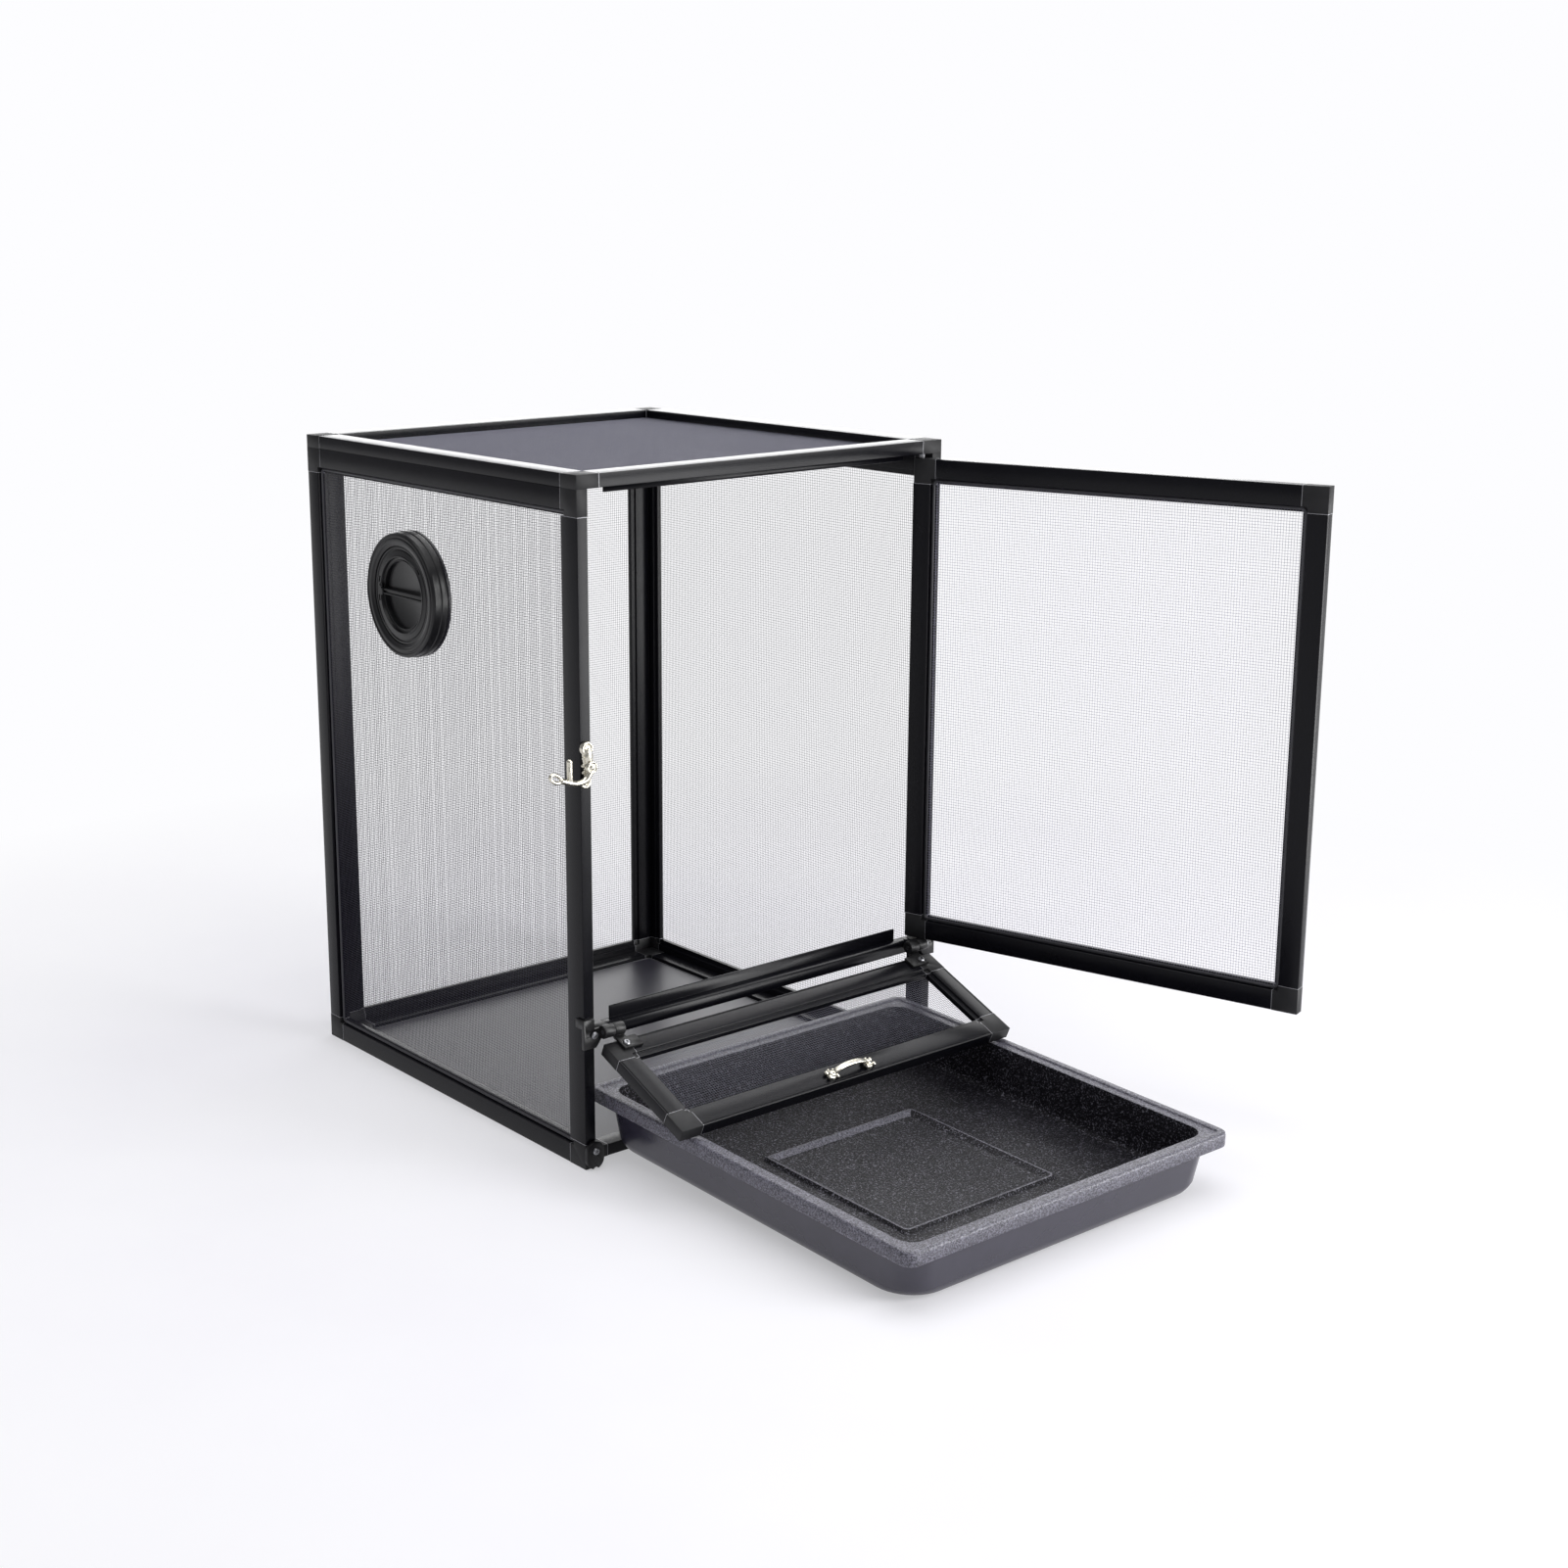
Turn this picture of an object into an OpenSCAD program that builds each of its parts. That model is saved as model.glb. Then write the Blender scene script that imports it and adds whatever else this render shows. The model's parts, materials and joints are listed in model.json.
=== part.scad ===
// Upright mesh terrarium with a hinged front door, a drop-down service flap and a
// substrate tray that slides out below the flap. Millimetres, +Z up, +Y to the back.
// Origin: middle of the underside of the floor panel's front rail.

/* [Cage] */
// Outside width of the cage
cage_w = 418; // [360:1:600]
// Outside depth of the cage
cage_d = 436; // [400:1:600]
// Outside height of the cage
cage_h = 610; // [480:1:900]
// Thickness of the side, back, floor, door and flap frames
bar_t = 11; // [10:0.5:13]
// Thickness of the roof frame
roof_t = 12; // [11:0.5:14]
// Face width of a frame bar without its lip
bar_w = 18; // [17:0.5:24]
// Width of the lip that carries the mesh
lip_w = 5; // [5:0.5:9]
// Thickness of the lip
lip_t = 5; // [4.5:0.5:5.5]
// Depth from the spline face down to the lip
lip_drop = 4; // [3:0.5:5]
// Wall of the hollow bars
bar_wall = 1; // [0.8:0.1:1.5]
// Length of the corner connectors' legs inside the bars
leg_len = 16; // [10:1:24]
// Thickness of the mesh
mesh_t = 0.5; // [0.4:0.1:1.5]
// Number of openings along a mesh panel's longer side, as drawn
mesh_cells = 12; // [4:1:12]
// Width of the strands between the mesh's openings, as drawn
mesh_strand = 1.6; // [1:0.1:4]
// Thickness of the solid floor sheet
floor_sheet_t = 1; // [0.6:0.1:2]
// Width of the mesh spline
spline_w = 2.8; // [2.2:0.1:3]
// Depth of the spline groove in the lip
groove_d = 2.4; // [1.5:0.1:3]
// How far the floor panel's front rail sits behind the cage's front
sill_setback = 13.5; // [13:0.5:20]
// Diameter of the two holes in the roof's rear rail
roof_hole_d = 3.4; // [2:0.2:5]
// Distance of the first roof hole from the rail's left end
roof_hole_x = 14; // [8:1:60]
// Distance between the two roof holes
roof_hole_pitch = 21; // [10:1:60]

/* [Cross bar] */
// Height of the cross bar's lower edge above the ground
cross_z = 119.5; // [110:0.5:150]
// Height of the cross bar's front face
cross_h = 10.5; // [10:0.5:14]
// Height of the door stop behind the cross bar
stop_h = 11; // [9:0.5:18]
// Thickness of the door stops
stop_t = 2; // [1.5:0.1:3]
// Length of each plastic end plug
plug_len = 16; // [14:1:24]
// Distance from each end of the door stops to the cage's side
stop_inset = 26; // [20:1:40]
// Height of the head stop under the roof
head_h = 6; // [5:0.5:10]

/* [Door] */
// Gap between the cross bar and the door, over the bottom bush
door_gap_bottom = 3.4; // [3.2:0.1:6]
// Gap between the roof and the door
door_gap_top = 4; // [2:0.5:5]
// Gap at the door's free edge
door_gap_free = 1.5; // [1:0.1:3]
// Gap at the door's pivot edge
door_gap_heel = 2; // [1.8:0.1:3]
// Distance from the pivot edge to the pivot
door_pivot_in = 6; // [5.7:0.1:8]
// Radius of the door's two pivot-edge corners
heel_r = 2; // [1.8:0.1:3]
// Opening angle of the door as drawn
door_open = 106; // [0:1:108]
// Diameter of the door's pivot pins
door_pin_d = 5; // [4:0.1:5.5]
// Length of pin inside the door
door_pin_in = 12; // [8:1:15]
// Length of pin inside the cage
door_pin_out = 8; // [5:0.5:9]
// Outside diameter of the bottom bush
bush_d = 9; // [8:0.5:11]
// Distance between the door and a stop behind it
stop_gap = 1; // [0.5:0.1:2]

/* [Flap] */
// Gap between the closed flap and the cross bar or the ground
flap_gap = 1; // [0.8:0.1:2]
// Gap at each side of the flap
flap_side_gap = 1.5; // [1:0.1:3]
// Distance of the flap's pivot in front of the cage
flap_pivot_y = 6.5; // [6.5:0.1:9]
// Height of the flap's pivot above the flap's top edge
flap_pivot_up = 8.3; // [8:0.1:8.5]
// Diameter of the hinge knuckles
knuckle_d = 11.8; // [10:0.1:12]
// Length of each knuckle
knuckle_len = 10.5; // [8:0.5:14]
// Gap between two knuckles
knuckle_gap = 0.4; // [0.3:0.1:1]
// Distance from the upright's inner edge to the first knuckle
knuckle_in = 4; // [3.5:0.5:8]
// Diameter of the flap's hinge pins
flap_pin_d = 4; // [3:0.1:5]
// Thickness of the bracket plates
plate_t = 3; // [2.5:0.1:4]
// Thickness of the hinge leaves
leaf_t = 2.6; // [2:0.1:3]
// Length of the hinge leaves on the flap
leaf_len = 13; // [10:1:20]
// Width of the hinge leaves
leaf_w = 20; // [18:1:30]
// Reach of the bow handle in front of the flap
handle_out = 9; // [7:0.5:14]
// Length of the bow handle between its feet
handle_len = 44; // [30:1:60]
// Diameter of the bow handle's rod
handle_d = 4; // [3:0.1:5]

/* [Tray] */
// Gap between the tray's rim and the cage's sides
tray_side_gap = 8; // [5:0.5:12]
// Gap behind the tray when it is fully in
tray_end_gap = 8; // [6:0.5:20]
// Height of the tray
tray_h = 54; // [40:1:70]
// Width of the rim
rim_w = 15; // [13:0.5:20]
// Drop of the rim's skirt
skirt_h = 12.5; // [8:0.5:18]
// Thickness of the rim and its skirt
rim_t = 2.4; // [1.8:0.1:3]
// Distance from the rim's edge to the wall at its top
wall_in = 7.5; // [6:0.1:9]
// Thickness of the tray's floor
tray_floor_t = 3; // [2:0.1:4]
// Radius of the rim's corners
tray_r = 11; // [6:1:30]
// Radius of the wall's outer corners
tray_wall_r = 23; // [16:1:50]
// Height of the feet
foot_h = 2; // [1:0.1:3]
// Side of the raised square on the tray's floor
ridge_side = 158; // [80:1:220]
// Width of the raised line of the square
ridge_w = 4; // [2:0.5:8]
// Depth of the rear of the tray that stays inside when it is pulled out
tray_stays = 28; // [25:1:60]
// Sideways place of the tray in the cage
tray_x = 4; // [0:0.5:4]

/* [Port] */
// Outside diameter of the access port
port_d = 116; // [100:1:130]
// Distance of the access port's centre below the cage's top
port_drop = 132; // [110:1:250]
// Distance of the access port's centre behind the cage's front
port_y = 259; // [150:1:290]
// Reach of the port's face outside the cage
port_out = 12; // [9:0.5:16]
// Diameter of the cap
cap_d = 90; // [86:0.5:92]
// Depth of the cap's face below the port's face
cap_sink = 2.5; // [1:0.5:4]
// Diameter of the recess in the cap
recess_d = 69; // [50:1:72]
// Depth of the recess
recess_h = 6; // [3:0.5:7]
// Thickness of the grip bar across the recess
grip_t = 6; // [4:0.5:10]
// Thickness of the ring behind the mesh
backing_t = 3; // [2:0.1:4]

/* [Latch and clips] */
// Height of the latch's pivot
latch_z = 364.8; // [250:0.1:420]
// Distance of the latch's pivot from the cage's side
latch_x = 7.4; // [6:0.1:7.5]
// Thickness of the latch's base and arm
latch_t = 1.4; // [1:0.1:2]
// Diameter of the latch's pivot knob
knob_d = 8.4; // [7:0.1:8.6]
// Width of the corner clips
clip_w = 18; // [16:0.5:20]
// Distance from a clip's screw to its foot
clip_drop = 16.7; // [14:0.1:18]
// Distance of a clip's screw from the cage's side
clip_x = 8; // [7:0.5:9]
// Height of a clip's screw
clip_z = 17.2; // [16:0.1:20]
// Thickness of the corner clips
clip_t = 4; // [3:0.1:5]
// Diameter of the small screws' heads
head_d = 6.6; // [5.5:0.1:8]
// Diameter of the small screws' threads
thread_d = 3; // [2.5:0.1:3.4]
// Length of a screw below its head
screw_len = 9; // [6:0.5:10]

/* [Hidden] */
$fn = 64;
// running clearance of a pin in its bore, on the radius
pin_fit = 0.05;
// distance at which loose neighbours are seated
seat = 0.3;
// height at which the cage and the tray's front stand above the ground
ground = 0.3;
block = bar_w + lip_w;
front_y = -(sill_setback + block / 2);
half_w = cage_w / 2;
inner_w = cage_w - 2 * bar_t;
side_h = cage_h - roof_t;
groove_w = spline_w + 0.3;
groove_in = bar_w + 0.6;
sheet_in = groove_in + groove_w + 0.1;
corner_r = 5;
key_gap = 0.3;
stop_y = front_y + bar_t + stop_gap;
cross_top = cross_z + cross_h;
door_w = inner_w - door_gap_free - door_gap_heel;
door_z = cross_top + door_gap_bottom;
door_h = side_h - door_gap_top - door_z;
door_heel = inner_w / 2 - door_gap_heel;
pivot_x = door_heel - door_pivot_in;
pivot_y = front_y + bar_t / 2;
flap_w = inner_w - 2 * flap_side_gap;
flap_top = cross_z - flap_gap;
flap_h = flap_top - flap_gap;
hinge_y = front_y - flap_pivot_y;
hinge_z = flap_top + flap_pivot_up;
sill_h = bar_t;
tray_w = inner_w - 2 * tray_side_gap;
tray_d = cage_d - 2 * bar_t - tray_end_gap;
tray_out = tray_d - tray_stays;
// the tray leans back just enough for its feet to pass over the floor panel's rail
tray_y = front_y - tray_out;
tray_tilt = atan((sill_h + seat - ground) / (tray_out + sill_setback));
rim_top0 = ground + tray_h / cos(tray_tilt) - tray_y * tan(tray_tilt);
// angle at which the flap's inner lower edge lies just above the tray's rim
tt = tan(tray_tilt);
edge_i = flap_pivot_y + bar_t;
edge_d = flap_pivot_up + flap_h;
eq_a = -edge_d - edge_i * tt;
eq_b = -edge_i + edge_d * tt;
eq_k = rim_top0 + seat - hinge_z + hinge_y * tt;
flap_open = atan2(eq_b, eq_a) - acos(eq_k / norm([eq_a, eq_b])) + 360;
knuckle_x = inner_w / 2 - knuckle_in;
port_z = cage_h - port_drop;
cap_fit = 0.3;
cap_lip = 3.5;
cap_t = recess_h + 2.5;
cap_bore_d = cap_d - 10;
hole_fit = 0.05;
knob_shaft_d = 4;
knob_in = 8;
arm_y = latch_t + 2 + seat;

// ---- frame panels -----------------------------------------------------------------
// A panel stands on its lower edge: x across, z up, y = 0 is the spline face.

// cross-section of a hollow bar, outer edge at x = 0
module bar_section(t) {
    difference() {
        union() {
            square([bar_w, t]);
            translate([0, lip_drop]) square([block, lip_t]);
        }
        translate([bar_wall, bar_wall]) square([bar_w - 2 * bar_wall, t - 2 * bar_wall]);
        translate([groove_in, lip_drop - 1]) square([groove_w, groove_d + 1]);
    }
}

module bar(len, t) {
    linear_extrude(len) bar_section(t);
}

module stiles(w, h, t) {
    for (m = [0, 1])
        translate([m * w, 0, block]) mirror([m, 0, 0]) bar(h - 2 * block, t);
}

module rails(w, h, t) {
    translate([block, 0, 0]) mirror([0, 0, 1]) rotate([0, 90, 0]) bar(w - 2 * block, t);
    translate([block, 0, h]) rotate([0, 90, 0]) bar(w - 2 * block, t);
}

// rectangle with round corners, corner at the origin
module round_rect(w, h, r) {
    translate([r, 0]) square([w - 2 * r, h]);
    translate([0, r]) square([w, h - 2 * r]);
    for (x = [r, w - r], y = [r, h - r]) translate([x, y]) circle(r);
}

// closed ring that follows the spline groove of a w x h panel
module groove_ring(w, h, inset, width) {
    translate([inset, inset]) difference() {
        round_rect(w - 2 * inset, h - 2 * inset, corner_r);
        translate([width, width])
            round_rect(w - 2 * inset - 2 * width, h - 2 * inset - 2 * width, corner_r - width);
    }
}

// a drawing in x and y, stood upright in x and z, from y0 over a thickness of t
module upright(y0, t) {
    translate([0, y0 + t, 0]) rotate([90, 0, 0]) linear_extrude(t) children();
}

// one corner connector with its two legs
module corner_key(t) {
    leg_w = bar_w - 2 * bar_wall - 2 * key_gap;
    leg_t = t - 2 * bar_wall - 2 * key_gap;
    leg_at = bar_wall + key_gap;
    cube([bar_w, t, bar_w]);
    translate([0, lip_drop, 0]) cube([block, lip_t, block]);
    translate([leg_at, leg_at, bar_w - 0.01]) cube([leg_w, leg_t, leg_len + lip_w]);
    translate([bar_w - 0.01, leg_at, leg_at]) cube([leg_len + lip_w, leg_t, leg_w]);
    translate([0, 0, bar_w - 0.01]) cube([bar_w, t, lip_w + 0.01]);
    translate([bar_w - 0.01, 0, 0]) cube([lip_w + 0.01, t, bar_w]);
}

module corners(w, h, t) {
    difference() {
        for (i = [0, 1], k = [0, 1])
            translate([i * w, 0, k * h]) mirror([i, 0, 0]) mirror([0, 0, k]) corner_key(t);
        upright(lip_drop - 1, groove_d + 1) groove_ring(w, h, groove_in, groove_w);
    }
}

module sheet(w, h, t) {
    translate([sheet_in, lip_drop - t, sheet_in])
        cube([w - 2 * sheet_in, t, h - 2 * sheet_in]);
}

// sheet with a square grid of openings and a closed edge on the lip
module mesh(w, h) {
    open_w = w - 2 * block;
    open_h = h - 2 * block;
    cell = max(open_w, open_h) / mesh_cells;
    nx = max(1, round(open_w / cell));
    nz = max(1, round(open_h / cell));
    px = open_w / nx;
    pz = open_h / nz;
    difference() {
        sheet(w, h, mesh_t);
        for (i = [0:nx - 1], k = [0:nz - 1])
            translate([block + i * px + mesh_strand / 2, lip_drop - mesh_t - 1,
                block + k * pz + mesh_strand / 2])
                cube([px - mesh_strand, mesh_t + 2, pz - mesh_strand]);
    }
}

module spline(w, h) {
    side = (groove_w - spline_w) / 2;
    upright(lip_drop - 1.2, groove_d + 1)
        groove_ring(w, h, groove_in + side, spline_w);
}

// ---- where the panels stand ---------------------------------------------------------
module at_left() {
    translate([-half_w, front_y, 0]) mirror([1, 0, 0]) rotate([0, 0, 90]) children();
}

module at_right() {
    mirror([1, 0, 0]) at_left() children();
}

module at_back() {
    translate([-inner_w / 2, front_y + cage_d, 0]) mirror([0, 1, 0]) children();
}

module at_roof() {
    translate([-half_w, front_y, side_h]) mirror([0, 1, -1]) children();
}

floor_d = cage_d - bar_t - sill_setback;
module at_floor() {
    translate([-inner_w / 2, front_y + sill_setback, bar_t]) rotate([-90, 0, 0]) children();
}

module door_swing() {
    translate([pivot_x, pivot_y, 0]) rotate([0, 0, door_open])
        translate([-pivot_x, -pivot_y, 0]) children();
}

module at_door() {
    door_swing() translate([door_heel - door_w, front_y + bar_t, door_z])
        mirror([0, 1, 0]) children();
}

module flap_swing() {
    translate([0, hinge_y, hinge_z]) rotate([-flap_open, 0, 0])
        translate([0, -hinge_y, -hinge_z]) children();
}

module at_flap() {
    flap_swing() translate([-flap_w / 2, front_y + bar_t, flap_gap])
        mirror([0, 1, 0]) children();
}

// the two sides of the cage, the second as a mirror image
module both_sides() {
    children();
    mirror([1, 0, 0]) children();
}

// pin or bore along z
module rod(d, z0, z1) {
    translate([0, 0, z0]) cylinder(d = d, h = z1 - z0);
}

// screw with a pan head and a cross recess; head seated at z = 0, thread below
module screw(len = screw_len) {
    difference() {
        union() {
            rotate_extrude() polygon([[0, 0], [head_d / 2, 0], [head_d / 2, 0.9],
                [head_d / 2 - 0.8, 1.8], [0, 2]]);
            translate([0, 0, -len]) cylinder(d = thread_d, h = len + 0.01);
        }
        for (a = [0, 90]) rotate([0, 0, a + 20])
            translate([-1.7, -0.4, 0.8]) cube([3.4, 0.8, 2]);
    }
}

module screw_bore(len = screw_len) {
    translate([0, 0, -len - 0.5]) cylinder(d = thread_d + 2 * hole_fit, h = len + 30);
}

// ---- sides --------------------------------------------------------------------------
bracket_screw = [-half_w + 9, front_y - plate_t, hinge_z - 2.3];
latch_screw_top = [-half_w + 5.5, front_y - latch_t, latch_z + 15.8];
latch_screw_low = [-half_w + 5, front_y - latch_t, latch_z - 13.6];
latch_pivot = [-half_w + latch_x, front_y, latch_z];
clip_screw = [-half_w + clip_x, front_y - clip_t - seat, clip_z];

// a child built along z, turned to point out of the front
module out_front(p) {
    translate(p) rotate([90, 0, 0]) children();
}

module latch_bores() {
    for (p = [latch_screw_top, latch_screw_low]) out_front(p) screw_bore();
    out_front(latch_pivot) rod(knob_shaft_d + 2 * hole_fit, -knob_in - 0.5, 30);
}

module left_stiles() {
    color("#26262a") difference() {
        at_left() stiles(cage_d, side_h, bar_t);
        out_front(bracket_screw) screw_bore();
        latch_bores();
    }
}

module left_rails() {
    color("#26262a") at_left() rails(cage_d, side_h, bar_t);
}

module left_corners() {
    color("#3c3c3e") difference() {
        at_left() corners(cage_d, side_h, bar_t);
        out_front(clip_screw) screw_bore();
    }
}

module left_mesh() {
    color("#d8d8de") difference() {
        union() {
            at_left() mesh(cage_d, side_h);
            at_port() rod(port_d, -lip_drop, mesh_t - lip_drop);
        }
        at_port() rod(cap_bore_d, -30, 30);
        at_port() port_screw_places() rod(thread_d + 2 * hole_fit, -20, 20);
    }
}

module left_spline() {
    color("#6d6d72") at_left() spline(cage_d, side_h);
}

module right_stiles() {
    color("#26262a") difference() {
        at_right() stiles(cage_d, side_h, bar_t);
        mirror([1, 0, 0]) out_front(bracket_screw) screw_bore();
    }
}

module right_rails() {
    color("#26262a") at_right() rails(cage_d, side_h, bar_t);
}

module right_corners() {
    color("#3c3c3e") difference() {
        at_right() corners(cage_d, side_h, bar_t);
        mirror([1, 0, 0]) out_front(clip_screw) screw_bore();
    }
}

module right_mesh() {
    color("#d8d8de") at_right() mesh(cage_d, side_h);
}

module right_spline() {
    color("#6d6d72") at_right() spline(cage_d, side_h);
}

// ---- back, roof and floor -----------------------------------------------------------
module back_stiles() {
    color("#26262a") at_back() stiles(inner_w, side_h, bar_t);
}

module back_rails() {
    color("#26262a") at_back() rails(inner_w, side_h, bar_t);
}

module back_corners() {
    color("#3c3c3e") at_back() corners(inner_w, side_h, bar_t);
}

module back_mesh() {
    color("#d8d8de") at_back() mesh(inner_w, side_h);
}

module back_spline() {
    color("#6d6d72") at_back() spline(inner_w, side_h);
}

module roof_stiles() {
    color("#26262a") at_roof() stiles(cage_w, cage_d, roof_t);
}

module roof_rails() {
    color("#26262a") difference() {
        at_roof() rails(cage_w, cage_d, roof_t);
        for (i = [0, 1])
            translate([-half_w + block + roof_hole_x + i * roof_hole_pitch,
                front_y + cage_d - bar_w - 2, cage_h - 2 * bar_wall - 0.2])
                rotate([-90, 0, 0]) cylinder(d = roof_hole_d, h = 6);
    }
}

module roof_corners() {
    color("#3c3c3e") difference() {
        at_roof() corners(cage_w, cage_d, roof_t);
        translate([pivot_x, pivot_y, 0])
            rod(door_pin_d + 2 * pin_fit, side_h - 1, side_h + door_pin_out + seat);
    }
}

module roof_mesh() {
    color("#8a8a90") at_roof() mesh(cage_w, cage_d);
}

module roof_spline() {
    color("#6d6d72") at_roof() spline(cage_w, cage_d);
}

module floor_stiles() {
    color("#26262a") at_floor() stiles(inner_w, floor_d, bar_t);
}

module floor_rails() {
    color("#26262a") at_floor() rails(inner_w, floor_d, bar_t);
}

module floor_corners() {
    color("#3c3c3e") at_floor() corners(inner_w, floor_d, bar_t);
}

module floor_sheet() {
    color("#5f5e69") at_floor() sheet(inner_w, floor_d, floor_sheet_t);
}

module floor_spline() {
    color("#6d6d72") at_floor() spline(inner_w, floor_d);
}

// ---- cross bar and stops ------------------------------------------------------------
cross_len = inner_w - 2 * plug_len;

module cross_section() {
    difference() {
        union() {
            square([bar_t + stop_gap, cross_h]);
            translate([bar_t + stop_gap - 0.01, 0]) square([stop_t + 0.01, cross_h]);
        }
        translate([bar_wall, bar_wall])
            square([bar_t + stop_gap - 2 * bar_wall, cross_h - 2 * bar_wall]);
    }
}

module cross_bar() {
    color("#242428") {
        translate([-cross_len / 2, front_y, cross_z])
            rotate([90, 0, 90]) linear_extrude(cross_len) cross_section();
        translate([-inner_w / 2 + stop_inset, stop_y, cross_top - 0.01])
            cube([inner_w - 2 * stop_inset, stop_t, stop_h + 0.01]);
    }
}

module cross_bar_plugs() {
    leg_at = bar_wall + key_gap;
    color("#1b1b1d") difference() {
        both_sides() translate([cross_len / 2, front_y, cross_z]) {
            cube([plug_len, bar_t + stop_gap + stop_t, cross_h]);
            translate([-leg_len, leg_at, leg_at])
                cube([leg_len + 0.01, bar_t + stop_gap - 2 * leg_at, cross_h - 2 * leg_at]);
        }
        translate([pivot_x, pivot_y, 0])
            rod(door_pin_d + 2 * pin_fit, cross_top - door_pin_out - seat, cross_top + 1);
    }
}

module head_stop() {
    color("#2e2e31") translate([-inner_w / 2 + stop_inset, stop_y, side_h - head_h])
        cube([inner_w - 2 * stop_inset, stop_t, head_h]);
}

// ---- door ---------------------------------------------------------------------------
// keeps the pivot edge's two long corners round
module round_heel(h) {
    linear_extrude(h) {
        square([door_w - heel_r, bar_t]);
        translate([door_w - 2 * heel_r, heel_r]) square([2 * heel_r, bar_t - 2 * heel_r]);
        for (y = [heel_r, bar_t - heel_r]) translate([door_w - heel_r, y]) circle(heel_r);
    }
}

module door_stiles() {
    color("#242428") at_door() intersection() {
        stiles(door_w, door_h, bar_t);
        round_heel(door_h);
    }
}

module door_rails() {
    color("#242428") at_door() rails(door_w, door_h, bar_t);
}

module door_corners() {
    color("#3a3a3c") difference() {
        at_door() intersection() {
            corners(door_w, door_h, bar_t);
            round_heel(door_h);
        }
        translate([pivot_x, pivot_y, 0]) {
            rod(door_pin_d + 2 * pin_fit, door_z - 1, door_z + door_pin_in + seat);
            rod(door_pin_d + 2 * pin_fit, door_z + door_h - door_pin_in - seat, side_h);
        }
    }
}

module door_mesh() {
    color("#e6e6ec") at_door() mesh(door_w, door_h);
}

module door_spline() {
    color("#6d6d72") at_door() spline(door_w, door_h);
}

module door_bush() {
    color("#b9b9b6") translate([pivot_x, pivot_y, 0]) difference() {
        rod(bush_d, cross_top, door_z - seat);
        rod(door_pin_d + 2 * pin_fit, cross_top - 1, door_z);
    }
}

module door_pins() {
    color("#c4c4c4") translate([pivot_x, pivot_y, 0]) {
        rod(door_pin_d, cross_top - door_pin_out, door_z + door_pin_in);
        rod(door_pin_d, door_z + door_h - door_pin_in, side_h + door_pin_out);
    }
}

// ---- flap ---------------------------------------------------------------------------
module flap_stiles() {
    color("#2a2a2e") at_flap() stiles(flap_w, flap_h, bar_t);
}

module flap_rails() {
    color("#2a2a2e") difference() {
        at_flap() rails(flap_w, flap_h, bar_t);
        flap_swing() both_sides() translate([handle_len / 2, front_y, handle_z])
            rotate([90, 0, 0]) rod(handle_d + 2 * hole_fit, -4.5, 5);
    }
}

module flap_corners() {
    color("#48494a") difference() {
        at_flap() corners(flap_w, flap_h, bar_t);
        flap_swing() both_sides() out_front(leaf_screw) screw_bore();
    }
}

module flap_mesh() {
    color("#9a9aa2") at_flap() mesh(flap_w, flap_h);
}

module flap_spline() {
    color("#6d6d72") at_flap() spline(flap_w, flap_h);
}

handle_z = flap_gap + bar_w / 2;
handle_bend = 6;

// bow handle: a bent rod whose two ends sit in the lower rail
module flap_handle() {
    reach = handle_out - handle_d / 2 - handle_bend;
    color("#c9c9cb") flap_swing() translate([0, front_y, handle_z]) {
        both_sides() {
            translate([handle_len / 2, 0, 0]) rotate([90, 0, 0]) rod(handle_d, -4, reach);
            translate([handle_len / 2, 0, 0]) rotate([90, 0, 0])
                rod(handle_d + 4, seat, seat + 1.4);
            translate([handle_len / 2 - handle_bend, -reach, 0]) rotate([0, 0, -90])
                rotate_extrude(angle = 90) translate([handle_bend, 0]) circle(d = handle_d);
            translate([-0.01, -reach - handle_bend, 0]) rotate([0, 90, 0])
                rod(handle_d, 0, handle_len / 2 - handle_bend + 0.01);
        }
    }
}

// ---- flap hinges --------------------------------------------------------------------
leaf_screw = [knuckle_x - 1.5 * knuckle_len - knuckle_gap,
    front_y - seat - leaf_t, flap_top - leaf_len / 2 - 1];

module knuckle(x0) {
    translate([x0, hinge_y, hinge_z]) rotate([0, 90, 0]) difference() {
        cylinder(d = knuckle_d, h = knuckle_len);
        translate([0, 0, -1])
            cylinder(d = flap_pin_d + 2 * pin_fit, h = knuckle_len + 2);
    }
}

// room for the open door's face beside the plate
door_swing_gap = 2;

// plate on the upright's front and side, with its knuckle (right-hand side)
module flap_bracket() {
    top = hinge_z + 12.6;
    low = hinge_z - 14;
    difference() {
        union() {
            upright(front_y - plate_t, plate_t) polygon([
                [half_w + 2.4, top], [half_w - bar_t + door_swing_gap, top],
                [half_w - bar_t + door_swing_gap, hinge_z + 3], [knuckle_x - 3, hinge_z + 3],
                [knuckle_x - 3, hinge_z - 5], [half_w - bar_t + 0.2, low],
                [half_w + 2.4, low]]);
            translate([half_w, front_y - plate_t, low]) cube([2.4, plate_t, top - low]);
            translate([half_w, front_y - 0.01, top - 8]) cube([2.4, 9, 8]);
        }
        mirror([1, 0, 0]) out_front(bracket_screw) screw_bore();
        translate([0, hinge_y, hinge_z]) rotate([0, 90, 0]) rod(knuckle_d - 2, 0, half_w);
    }
    knuckle(knuckle_x - knuckle_len);
}

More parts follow.
